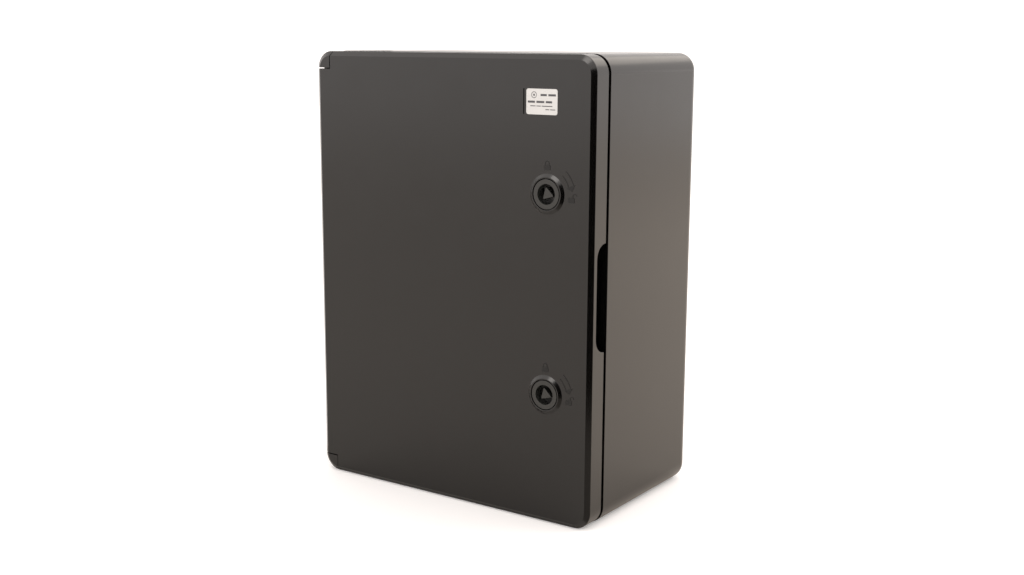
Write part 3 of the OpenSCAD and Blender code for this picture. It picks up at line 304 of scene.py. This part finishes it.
dress(["base", "door"], BLACK, 0.3 * MM)
dress(both("hinge_lug", ("top", "bottom")), LUG_BLACK, 0.25 * MM)
dress(both("lock_rotor"), ROTOR_GREY, 0.2 * MM)
dress(["door_gasket", "gland_plate_gasket"], RUBBER, 0.5 * MM)
dress(["lock_seal_rings", "string_grommets", "output_grommets"], RUBBER, FINE)
dress(["gland_plate"], LUG_BLACK, 0.3 * MM)
dress(both("hinge_pin", ("top", "bottom")), PIN_STEEL, FINE)
dress(both("lock_retainer") + both("lock_cam") + both("cam_screw"), STEEL, FINE)
dress(["hinge_lug_screws", "mounting_plate_screws", "din_rail_screws", "gland_plate_screws"], STEEL, FINE)
dress(["terminal_screws", "isolator_shaft"], STEEL, FINE)
dress(["mounting_plate"] + both("din_rail"), SHEET, FINE)
dress(["rating_label"], RATING_FILM, 0.05 * MM)
dress(numbered("fuse_holder", STRINGS), MODULE, 0.25 * MM)
dress(["surge_protector_base", "isolator_body", "rail_end_clamps"], MODULE, 0.25 * MM)
dress(numbered("fuse_carrier", STRINGS), CARRIER, 0.25 * MM)
dress(numbered("surge_cartridge", POLES), CARTRIDGE, 0.2 * MM)
dress(["fuse_contacts", "busbar_positive", "busbar_negative"], COPPER, FINE)
dress(["isolator_knob"], KNOB, 0.5 * MM)
dress(["output_terminal_positive"], TERMINAL_RED, 0.25 * MM)
dress(["output_terminal_negative"], TERMINAL_BLUE, 0.25 * MM)
dress(["earth_terminal"], TERMINAL_GREEN, 0.25 * MM)


# ---- shapes ----

# In an outline u runs along X and v along Z; angles are in degrees, from +X towards +Z.

FORWARD = (0, -1, 0)
UP = (0, 0, 1)


def arc_points(u, v, r, start, end, steps):
    angles = [math.radians(start + (end - start) * k / steps) for k in range(steps + 1)]
    return [(u + r * math.cos(a), v + r * math.sin(a)) for a in angles]


def rounded(u0, v0, u1, v1, r, steps=6):
    """Outline of a rectangle with round corners."""
    turns = ((u1 - r, v1 - r, 0), (u0 + r, v1 - r, 90), (u0 + r, v0 + r, 180), (u1 - r, v0 + r, 270))
    return [point for u, v, start in turns for point in arc_points(u, v, r, start, start + 90, steps)]


def band(u, v, r0, r1, start, end, steps=24):
    """Outline of a stretch of a flat ring."""
    return arc_points(u, v, r1, start, end, steps) + arc_points(u, v, r0, end, start, steps)


def disc(u, v, r, steps):
    return arc_points(u, v, r, 0, 360 * (steps - 1) / steps, steps - 1)


def bar(u, v, w, h):
    """Outline of a plain rectangle around its middle."""
    return [(u - w / 2, v - h / 2), (u + w / 2, v - h / 2), (u + w / 2, v + h / 2), (u - w / 2, v + h / 2)]


def raise_front(bm, outline, back, front):
    """Extrudes an outline forward, from y = back to y = front."""
    near = [bm.verts.new((u, front, v)) for u, v in outline]
    far = [bm.verts.new((u, back, v)) for u, v in outline]
    bm.faces.new(near)
    bm.faces.new(reversed(far))
    for k in range(len(outline)):
        n = (k + 1) % len(outline)
        bm.faces.new((near[n], near[k], far[k], far[n]))


def turn_profile(bm, profile, centre, axis, steps=40):
    """Turns a profile of (radius, distance along the axis) points around an axis through centre."""
    spin = Vector(UP).rotation_difference(Vector(axis)).to_matrix()
    rings = []
    for r, t in profile:
        ring = []
        for k in range(steps):
            a = 2 * math.pi * k / steps
            ring.append(bm.verts.new(Vector(centre) + spin @ Vector((r * math.cos(a), r * math.sin(a), t))))
        rings.append(ring)
    for near, far in zip(rings, rings[1:]):
        for k in range(steps):
            n = (k + 1) % steps
            bm.faces.new((near[k], near[n], far[n], far[k]))
    bm.faces.new(reversed(rings[0]))
    bm.faces.new(rings[-1])


def torus(bm, centre, ring_r, r, steps=40, sides=10):
    """Ring of round section lying flat, around a vertical axis."""
    rings = []
    for k in range(steps):
        a = 2 * math.pi * k / steps
        out = Vector((math.cos(a), math.sin(a), 0))
        ring = []
        for s in range(sides):
            b = 2 * math.pi * s / sides
            place = Vector(centre) + out * (ring_r + r * math.cos(b))
            ring.append(bm.verts.new(place + Vector((0, 0, r * math.sin(b)))))
        rings.append(ring)
    for k in range(steps):
        near, far = rings[k], rings[(k + 1) % steps]
        for s in range(sides):
            t = (s + 1) % sides
            bm.faces.new((near[s], far[s], far[t], near[t]))


def piece(name, bm, material, body, replaces=()):
    """Turns the built mesh into a piece that rides on a body, in place of the nodes it replaces."""
    bmesh.ops.recalc_face_normals(bm, faces=bm.faces)
    mesh = bpy.data.meshes.new(name)
    bm.to_mesh(mesh)
    bm.free()
    mesh.materials.append(material)
    mesh.shade_smooth()
    mesh.set_sharp_from_angle(angle=math.radians(32))
    made = bpy.data.objects.new(name, mesh)
    bpy.context.scene.collection.objects.link(made)
    settle(made, body, replaces)


def settle(made, body, replaces=()):
    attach(made, body)
    if replaces:
        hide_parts(*replaces)


def middle(node):
    low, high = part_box(node)
    return (low + high) / 2


# ---- door: lock marks and label ----

DOOR_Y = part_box("rating_label")[1].y
SKIN = 0.2 * MM  # how deep a detail is sunk into the face it stands on


def on_door(bm, outline):
    """Raises an outline a little above the door's face."""
    raise_front(bm, outline, DOOR_Y + SKIN, DOOR_Y - SKIN)


def padlock(bm, u, v, opened):
    """Small raised sign of a padlock; an opened one has its shackle moved aside, with one leg."""
    w, h, line = 6.4 * MM, 4.6 * MM, 0.8 * MM
    top = v + h / 2
    on_door(bm, rounded(u - w / 2, v - h / 2, u + w / 2, top, 0.8 * MM, 3))
    shift = w / 2 if opened else 0.0
    r = 2.2 * MM
    on_door(bm, band(u + shift, top + 1.2 * MM, r - line, r, 0, 180, 16))
    for side in ((-1,) if opened else (-1, 1)):
        on_door(bm, bar(u + shift + side * (r - line / 2), top + 0.6 * MM, line, 1.3 * MM))


def lock_marks(end):
    """Raised marks moulded beside a lock: closed above, open to the right and a curved arrow between."""
    at = middle(f"lock_rotor_{end}")
    bm = bmesh.new()
    padlock(bm, at.x - 0.3 * MM, at.z + 22.0 * MM, False)
    padlock(bm, at.x + 23.5 * MM, at.z - 3.5 * MM, True)
    inner, outer, line = 21.7 * MM, 26.8 * MM, 0.7 * MM
    for r in (inner, outer):
        on_door(bm, band(at.x, at.z, r - line / 2, r + line / 2, 48, 19))
    tip = math.radians(8)
    wing = math.radians(19)
    head = [
        (at.x + r * math.cos(a), at.z + r * math.sin(a))
        for r, a in ((inner - 2 * MM, wing), (outer + 2 * MM, wing), ((inner + outer) / 2, tip))
    ]
    on_door(bm, head)
    piece(f"lock_marks_{end}", bm, MARK_BLACK, "door_leaf")


def label_print():
    """Plain bars and a ring in place of a label's print, and a near-black, barely reflecting strip beside
    the label.
    """
    low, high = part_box("rating_label")
    wide, tall = high.x - low.x, high.z - low.z
    back, ink_front = low.y + SKIN / 2, low.y - 0.03 * MM
    big, small = 1.7 * MM, 0.7 * MM
    # Each row: height and thickness, then where its bars start and end, as shares of the label.
    rows = ((0.76, big, ((0.46, 0.66), (0.71, 0.95))),
            (0.49, big, ((0.05, 0.28), (0.33, 0.58), (0.63, 0.83))),
            (0.33, small, ((0.13, 0.30), (0.33, 0.47), (0.50, 0.84))),
            (0.20, small, ((0.62, 0.74), (0.77, 0.93))))
    bm = bmesh.new()
    for height, thick, bars in rows:
        for start, end in bars:
            u, v = low.x + (start + end) / 2 * wide, low.z + height * tall
            raise_front(bm, bar(u, v, (end - start) * wide, thick), back, ink_front)
    ring_u, ring_v, ring_r = low.x + 0.25 * wide, low.z + 0.76 * tall, 2.7 * MM
    raise_front(bm, band(ring_u, ring_v, ring_r - 0.5 * MM, ring_r, 0, 358, 30), back, ink_front)
    raise_front(bm, bar(ring_u, ring_v, 1.6 * MM, 1.6 * MM), back, ink_front)
    piece("label_print", bm, INK, "door_leaf")
    # A near-black strip that reflects almost nothing, 2.8 mm left of the label, drawn as a dark line.
    bm = bmesh.new()
    strip = bar(low.x - 2.8 * MM, (low.z + high.z) / 2, 1.0 * MM, tall)
    raise_front(bm, strip, high.y + SKIN / 2, high.y - SKIN / 2)
    piece("label_side_dark_line", bm, UNREFLECTING_BLACK, "door_leaf")


for end in ("upper", "lower"):
    lock_marks(end)
label_print()


# ---- isolator ----

def isolator_details():
    """Dial and its marks behind the knob, ribs around the knob's rim, a raised bar and a pointer."""
    low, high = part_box("isolator_knob")
    at = (low + high) / 2
    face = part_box("isolator_body")[0].y
    radius = (high.x - low.x) / 2
    bm = bmesh.new()
    raise_front(bm, disc(at.x, at.z, radius + 3.5 * MM, 64), face + SKIN, face - 0.3 * MM)
    piece("isolator_dial", bm, WHITE, "enclosure")
    bm = bmesh.new()
    for turn in range(85, 185, 15):
        a = math.radians(turn)
        for r in (radius + 1.2 * MM, radius + 2.4 * MM):
            raise_front(bm, disc(at.x + r * math.cos(a), at.z + r * math.sin(a), 0.45 * MM, 12),
                        face - 0.2 * MM, face - 0.36 * MM)
    piece("isolator_dial_marks", bm, INK, "enclosure")
    bm = bmesh.new()
    ribs, rib_r, rib_back = 36, radius - 0.5 * MM, high.y - 0.3 * MM
    for k in range(ribs):
        a = 2 * math.pi * k / ribs
        rib = disc(at.x + rib_r * math.cos(a), at.z + rib_r * math.sin(a), 0.9 * MM, 10)
        raise_front(bm, rib, rib_back, rib_back - 3.9 * MM)
    raise_front(bm, rounded(at.x - 2.9 * MM, at.z - 12 * MM, at.x + 2.9 * MM, at.z + 4 * MM, 1 * MM),
                low.y + SKIN, low.y - 0.5 * MM)
    piece("isolator_knob_ribs", bm, KNOB, "isolator_handle")
    bm = bmesh.new()
    raise_front(bm, rounded(at.x - 1.2 * MM, at.z + 5.5 * MM, at.x + 1.2 * MM, high.z - 2.4 * MM, 1 * MM),
                low.y + SKIN, low.y - 0.3 * MM)
    piece("isolator_pointer", bm, WHITE, "isolator_handle")


isolator_details()


# ---- fuse holders and their carriers ----

def marker_strips(name, node, margin):
    """White marker strips on the lower and upper shoulders of a device on a rail."""
    low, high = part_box(node)
    shoulder = low.y + 14 * MM
    bm = bmesh.new()
    for v in (low.z + 14 * MM, high.z - 14 * MM):
        strip = rounded(low.x + margin, v - 1.6 * MM, high.x - margin, v + 1.6 * MM, 0.6 * MM, 3)
        raise_front(bm, strip, shoulder + SKIN, shoulder - 0.3 * MM)
    piece(name, bm, WHITE, "enclosure")


def carrier_details(n):
    """Grip ribs, a panel, two fuse signs over n dots and two indicator windows on a carrier's cover."""
    low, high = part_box(f"fuse_carrier_{n}")
    centre = (low.x + high.x) / 2
    link_offset = 6.5 * MM
    grip_front, cover_front = low.y, low.y + 4 * MM
    bm = bmesh.new()
    for k in range(3):
        v = high.z - 4.9 * MM + (k - 1) * 1.6 * MM
        rib = rounded(centre - 11 * MM, v - 0.4 * MM, centre + 11 * MM, v + 0.4 * MM, 0.3 * MM, 3)
        raise_front(bm, rib, grip_front + SKIN, grip_front - 0.4 * MM)
    piece(f"carrier_{n}_grip_ribs", bm, CARRIER, f"carrier_{n}")
    bm = bmesh.new()
    panel_z0, panel_z1 = low.z + 14 * MM, high.z - 14 * MM
    raise_front(bm, rounded(centre - 13 * MM, panel_z0, centre + 13 * MM, panel_z1, 1.5 * MM),
                cover_front + SKIN, cover_front - 0.12 * MM)
    piece(f"carrier_{n}_panel", bm, WHITE, f"carrier_{n}")
    bm = bmesh.new()
    ink = cover_front - 0.2 * MM
    v = panel_z0 + 9 * MM
    for side in (-1, 1):
        u = centre + side * link_offset
        for edge in (-1, 1):
            raise_front(bm, bar(u, v + edge * 1.4 * MM, 7 * MM, 0.5 * MM), cover_front, ink)
            raise_front(bm, bar(u + edge * 3.25 * MM, v, 0.5 * MM, 2.4 * MM), cover_front, ink)
        raise_front(bm, bar(u, v, 9.5 * MM, 0.4 * MM), cover_front, ink)
    for dot in range(n):
        raise_front(bm, disc(centre + (dot - (n - 1) / 2) * 3.2 * MM, panel_z0 + 3.4 * MM, 0.9 * MM, 20),
                    cover_front, ink)
    piece(f"carrier_{n}_signs", bm, INK, f"carrier_{n}")
    bm = bmesh.new()
    dome = [(1.6 * MM, 0.0), (1.5 * MM, 0.35 * MM), (1.1 * MM, 0.6 * MM), (0.5 * MM, 0.72 * MM)]
    for side in (-1, 1):
        at = (centre + side * link_offset, cover_front - 0.05 * MM, panel_z1 + 3.2 * MM)
        turn_profile(bm, dome, at, FORWARD, 24)
    piece(f"carrier_{n}_windows", bm, RED_LENS, f"carrier_{n}")


def fuse_links(n):
    """Cylindrical fuses: glazed ceramic tubes with rolled nickel caps."""
    low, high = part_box(f"fuse_links_{n}")
    r = (high.y - low.y) / 2
    length = high.z - low.z
    cap = 10 * MM
    tubes, caps = bmesh.new(), bmesh.new()
    for x in (low.x + r, high.x - r):
        at = (x, (low.y + high.y) / 2, low.z)
        tube = [(r - 0.4 * MM, cap / 2), (r - 0.25 * MM, cap), (r - 0.25 * MM, length - cap),
                (r - 0.4 * MM, length - cap / 2)]
        turn_profile(tubes, tube, at, UP)
        for start, end, way in ((0.0, cap, 1), (length, length - cap, -1)):
            groove = end - way * 1.2 * MM
            rolled = [(r - 1.1 * MM, start), (r - 0.3 * MM, start + way * 0.3 * MM),
                      (r, start + way * 1.1 * MM), (r, groove - way * 0.8 * MM), (r - 0.22 * MM, groove),
                      (r, groove + way * 0.7 * MM), (r - 0.1 * MM, end)]
            turn_profile(caps, rolled, at, UP)
    piece(f"fuse_tubes_{n}", tubes, CERAMIC, f"carrier_{n}", [f"fuse_links_{n}"])
    piece(f"fuse_caps_{n}", caps, NICKEL, f"carrier_{n}", [f"fuse_links_{n}"])


for n in range(1, STRINGS + 1):
    carrier_details(n)
    marker_strips(f"holder_{n}_marker_strips", f"fuse_holder_{n}", 3.7 * MM)
    fuse_links(n)


# ---- surge protector ----

def cartridge_details(n):
    """Indicator window of a surge cartridge and the rim around it."""
    low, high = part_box(f"surge_cartridge_{n}")
    centre = (low.x + high.x) / 2
    mid = (low.z + high.z) / 2
    body = f"cartridge_{n}"
    bm = bmesh.new()
    dome = [(1.9 * MM, 0.0), (1.8 * MM, 0.4 * MM), (1.2 * MM, 0.75 * MM), (0.5 * MM, 0.85 * MM)]
    turn_profile(bm, dome, (centre, low.y + 0.95 * MM, mid), FORWARD, 28)
    piece(f"cartridge_{n}_window", bm, GREEN_LENS, body)
    bm = bmesh.new()
    rim = [(3.0 * MM, 0.0), (3.0 * MM, 0.25 * MM), (2.0 * MM, 0.25 * MM), (2.0 * MM, 0.0)]
    turn_profile(bm, rim, (centre, low.y + 0.1 * MM, mid), FORWARD, 28)
    piece(f"cartridge_{n}_window_rim", bm, CARTRIDGE, body)


for n in range(1, POLES + 1):
    cartridge_details(n)
marker_strips("surge_marker_strips", "surge_protector_base", 5 * MM)
marker_strips("isolator_marker_strips", "isolator_body", 5 * MM)


# ---- output and earth terminals ----

TERMINALS = ("output_terminal_positive", "output_terminal_negative", "earth_terminal")


def plus(bm, u, v, back, front):
    raise_front(bm, bar(u, v, 4.4 * MM, 1.1 * MM), back, front)
    raise_front(bm, bar(u, v + 1.4 * MM, 1.1 * MM, 1.6 * MM), back, front)
    raise_front(bm, bar(u, v - 1.4 * MM, 1.1 * MM, 1.6 * MM), back, front)


def minus(bm, u, v, back, front):
    raise_front(bm, bar(u, v, 4.4 * MM, 1.1 * MM), back, front)


def earth(bm, u, v, back, front):
    raise_front(bm, bar(u, v + 1.6 * MM, 0.8 * MM, 1.8 * MM), back, front)
    for step, width in enumerate((5.0 * MM, 3.4 * MM, 1.8 * MM)):
        raise_front(bm, bar(u, v + 0.4 * MM - step * 1.1 * MM, width, 0.6 * MM), back, front)


def terminal_tags():
    """White marker tags with a plain sign on each output and earth terminal."""
    tags, signs = bmesh.new(), bmesh.new()
    for node, sign in zip(TERMINALS, (plus, minus, earth)):
        low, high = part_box(node)
        at = (low + high) / 2
        raise_front(tags, rounded(at.x - 4.4 * MM, at.z - 5 * MM, at.x + 4.4 * MM, at.z + 5 * MM, 1 * MM),
                    low.y + SKIN, low.y - 0.7 * MM)
        sign(signs, at.x, at.z, low.y - 0.6 * MM, low.y - 0.8 * MM)
    piece("terminal_tags", tags, WHITE, "enclosure")
    piece("terminal_signs", signs, INK, "enclosure")


terminal_tags()


# ---- wires ----

ENTRY_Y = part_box("din_rail_upper")[0].y - 22.5 * MM  # depth of the devices' wire entries
WIRE_R = 2.6 * MM
WIRE_IN = 7 * MM  # how far a wire runs into its terminal
ISO_LOW, ISO_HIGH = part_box("isolator_body")
POLE_PITCH = (ISO_HIGH.x - ISO_LOW.x) / 4


def isolator_pole(k):
    """X of the isolator's pole k, counted from the left."""
    return ISO_LOW.x + (k - 0.5) * POLE_PITCH


def riser(x, bar_node, shift=0.0):
    """Route of a lead from a busbar's top up to the terminal above it."""
    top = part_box(bar_node)[1].z
    bar_y = middle(bar_node).y
    end = ISO_LOW.z
    return [
        (x + shift, bar_y, top - 1 * MM), (x + shift, bar_y, top + 12 * MM), (x, ENTRY_Y, end - 18 * MM),
        (x, ENTRY_Y, end), (x, ENTRY_Y, end + WIRE_IN)
    ]


def loop(x, node, top, side, low, y):
    """Route from the isolator's top around the right side to an output terminal.

    top and low are the heights of its two level runs, side is the X of its drop and y its depth.
    """
    out = middle(node).x
    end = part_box(node)[1].z
    start = ISO_HIGH.z
    return [
        (x, ENTRY_Y, start - WIRE_IN), (x, ENTRY_Y, start + 3 * MM), (x + 3 * MM, y, top - 7 * MM),
        (x + 14 * MM, y, top), (side - 14 * MM, y, top), (side - 3 * MM, y, top - 4 * MM),
        (side, y, top - 16 * MM), (side, y, low + 17 * MM), (side - 4 * MM, y, low + 4 * MM),
        (side - 16 * MM, y, low), (out + 13 * MM, y, low), (out + 3 * MM, y, low - 3 * MM),
        (out, y, low - 13 * MM), (out, ENTRY_Y, end + 3 * MM), (out, ENTRY_Y, end - WIRE_IN)
    ]


def wire_curve(name, routes, material, node):
    """Insulated wires that follow the given routes on smooth curves."""
    data = bpy.data.curves.new(name, "CURVE")
    data.dimensions = "3D"
    data.bevel_depth = WIRE_R
    data.bevel_resolution = 5
    data.resolution_u = 8
    data.use_fill_caps = True
    for route in routes:
        spline = data.splines.new("BEZIER")
        spline.bezier_points.add(len(route) - 1)
        for point, place in zip(spline.bezier_points, route):
            point.co = place
            point.handle_left_type = point.handle_right_type = "AUTO"
    data.materials.append(material)
    made = bpy.data.objects.new(name, data)
    bpy.context.scene.collection.objects.link(made)
    settle(made, "enclosure", [node])


def ferrules(name, places, material):
    """Crimped collars where the wires enter their terminals."""
    bm = bmesh.new()
    collar = [(WIRE_R + 0.1 * MM, -6 * MM), (WIRE_R + 0.55 * MM, -5.4 * MM),
              (WIRE_R + 0.55 * MM, 3 * MM), (WIRE_R + 0.25 * MM, 4.2 * MM), (WIRE_R + 0.1 * MM, 4.4 * MM)]
    for x, z, way in places:
        turn_profile(bm, collar, (x, ENTRY_Y, z), (0, 0, way), 28)
    piece(name, bm, material, "enclosure")


def wiring():
    """Leads from the busbars to the isolator and the surge protector, then out, and the earth lead."""
    first, mid, last = (middle(f"surge_cartridge_{n}").x for n in (1, 2, POLES))
    positive = [
        riser(isolator_pole(1), "busbar_positive"),
        riser(first, "busbar_positive", -4 * MM),
        loop(isolator_pole(1), "output_terminal_positive",
             top=354 * MM, side=118 * MM, low=192 * MM, y=ENTRY_Y - 8 * MM)
    ]
    negative = [
        riser(isolator_pole(3), "busbar_negative"),
        riser(last, "busbar_negative", -2 * MM),
        loop(isolator_pole(3), "output_terminal_negative",
             top=342 * MM, side=107 * MM, low=181 * MM, y=ENTRY_Y)
    ]
    low_z, high_z = ISO_LOW.z, ISO_HIGH.z
    earth_x, earth_z = middle("earth_terminal").x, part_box("earth_terminal")[1].z
    behind = ENTRY_Y + 11 * MM
    earth_route = [
        (mid, ENTRY_Y, low_z + WIRE_IN), (mid, ENTRY_Y, low_z - 5 * MM),
        (mid + 4 * MM, ENTRY_Y + 5 * MM, low_z - 18 * MM), (mid + 14 * MM, behind, low_z - 28 * MM),
        (earth_x - 12 * MM, behind, low_z - 36 * MM), (earth_x - 2 * MM, behind, low_z - 46 * MM),
        (earth_x, behind, earth_z + 20 * MM), (earth_x, ENTRY_Y + 2 * MM, earth_z + 6 * MM),
        (earth_x, ENTRY_Y, earth_z - 1 * MM), (earth_x, ENTRY_Y, earth_z - WIRE_IN)
    ]
    wire_curve("wiring_positive", positive, WIRE_RED, "wires_positive")
    wire_curve("wiring_negative", negative, WIRE_BLACK, "wires_negative")
    wire_curve("wiring_earth", [earth_route], WIRE_GREEN, "wire_earth")
    collars = []
    for to_isolator, to_surge, output in (positive, negative):
        collars += [(to_isolator[-1][0], low_z, 1), (to_surge[-1][0], low_z, 1), (output[0][0], high_z, -1)]
    collars.append((mid, low_z, 1))
    collars += [(middle(node).x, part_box(node)[1].z, -1) for node in TERMINALS]
    ferrules("wire_ferrules", collars, WHITE)


wiring()


# ---- gland plate ----

def grommet_steps():
    """Concentric steps on the undersides of the closed grommets, where they are cut for a cable."""
    bm = bmesh.new()
    for node, columns, rows in (("string_grommets", 4, 2), ("output_grommets", 2, 1)):
        low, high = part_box(node)
        if rows == 1:
            r = (high.y - low.y) / 2
            row_places = [(low.y + high.y) / 2]
        else:
            r = 8.1 * MM
            row_places = [low.y + r, high.y - r]
        for i in range(columns):
            x = low.x + r + (high.x - low.x - 2 * r) * i / (columns - 1)
            for y in row_places:
                for share in (0.78, 0.92):
                    torus(bm, (x, y, low.z + 0.1 * MM), r * share, 0.45 * MM)
    piece("grommet_steps", bm, RUBBER, "enclosure")


grommet_steps()


# ---- camera, light and floor ----

def camera():
    """Camera to the right of the box and above it, with a slight roll."""
    place = Vector((0.69092, -0.99239, 0.41134))
    ahead = Vector((-0.55677, 0.80942, -0.18667)).normalized()
    roll = 0.0053
    side = ahead.cross(Vector(UP)).normalized()
    up = side.cross(ahead)
    right = side * math.cos(roll) + up * math.sin(roll)
    over = up * math.cos(roll) - side * math.sin(roll)
    turn = Matrix((right, over, -ahead)).transposed().to_4x4()
    data = bpy.data.cameras.new("camera")
    data.sensor_width = 36.0
    data.lens = 46.0
    made = bpy.data.objects.new("camera", data)
    made.matrix_world = Matrix.Translation(place) @ turn
    bpy.context.scene.collection.objects.link(made)
    bpy.context.scene.camera = made


def softbox(name, place, target, size, power, colour=(1.0, 0.95, 0.90), lit=True, mirrored=True):
    """Soft lamp; lit lets it light matt surfaces, and mirrored lets it show in reflections."""
    data = bpy.data.lights.new(name, "AREA")
    data.shape = "RECTANGLE"
    data.size, data.size_y = size
    data.energy = power
    data.color = colour
    made = bpy.data.objects.new(name, data)
    made.location = place
    made.rotation_euler = (Vector(target) - Vector(place)).to_track_quat("-Z", "Y").to_euler()
    made.visible_camera = False
    made.visible_diffuse = lit
    made.visible_glossy = mirrored
    bpy.context.scene.collection.objects.link(made)


def flat(x0, y0, x1, y1, z):
    """Corners of a level rectangle."""
    return [(x0, y0, z), (x1, y0, z), (x1, y1, z), (x0, y1, z)]


def upright(x0, y0, x1, y1, top):
    """Corners of a wall that stands on the floor from one point to another."""
    return [(x0, y0, 0), (x1, y1, 0), (x1, y1, top), (x0, y0, top)]


def sheet_of(name, corners, material):
    """Flat sheet that belongs to the studio and not to the part."""
    bm = bmesh.new()
    bm.faces.new([bm.verts.new(c) for c in corners])
    mesh = bpy.data.meshes.new(name)
    bm.to_mesh(mesh)
    bm.free()
    mesh.materials.append(material)
    made = bpy.data.objects.new(name, mesh)
    bpy.context.scene.collection.objects.link(made)
    return made


def card(name, grey, corners, warmth=0.16):
    """Warm grey card that shapes the reflections and shows in nothing else."""
    paint = Graph(name)
    tint = rgb(grey, (1 - 0.45 * warmth) * grey, (1 - warmth) * grey)
    paint.set(Base_Color=paint.mix(paint.noise(2.0), tint, toned(tint, 1.06)),
              Roughness=0.9, Specular_IOR_Level=0.0)
    made = sheet_of(name, corners, paint.material)
    made.visible_camera = made.visible_diffuse = made.visible_shadow = made.visible_transmission = False


def studio():
    """Pale floor under an even sky, three softboxes, and cards that only shape the reflections."""
    paper = Graph("studio_floor")
    shade = paper.noise(3.0, 3.0)
    paper.set(Base_Color=paper.mix(shade, rgb(0.94, 0.94, 0.94), rgb(0.96, 0.96, 0.96)), Roughness=0.9,
              Specular_IOR_Level=0.0, Emission_Color=rgb(1.0, 0.98, 0.96), Emission_Strength=0.18)
    reach = 25.0
    sheet_of("floor", flat(-reach, -reach, reach, reach, CAD_BOX[0].z), paper.material)
    # The three table cards lie one above another, just over the floor, and meet under the box.
    card("front_table_card", 0.63, flat(-4, -4, 0.148, -0.06, 1.0 * MM), 0.10)
    card("side_table_card", 0.83, flat(0.135, -0.089, 4, 4, 1.2 * MM))
    card("corner_table_card", 0.27, flat(0.148, -0.5, 0.6, -0.089, 1.4 * MM))
    card("black_card", 0.003, upright(0.20, -0.48, 0.60, -0.14, 0.52))
    card("left_card", 0.05, upright(-0.6, 0.26, -0.6, 0.56, 0.5))
    softbox("softbox_front", (0.1, -1.2, 1.75), (0.1, -0.09, 0.3), (0.9, 0.9), 8, lit=False)
    softbox("softbox_back", (0.5, 2.0, 1.75), (0.1, 0, 0.35), (1.6, 0.9), 4.5, (1.0, 0.90, 0.78))
    softbox("softbox_right", (1.7, 1.3, 1.5), (0.2, 0, 0.0), (1.2, 1.2), 10, mirrored=False)
    world = bpy.data.worlds.new("studio")
    world.use_nodes = True
    sky = world.node_tree.nodes["Background"]
    sky.inputs["Color"].default_value = rgb(1.0, 0.94, 0.905)
    sky.inputs["Strength"].default_value = 1.42
    bpy.context.scene.world = world
    bpy.context.scene.view_settings.view_transform = "Standard"


camera()
studio()
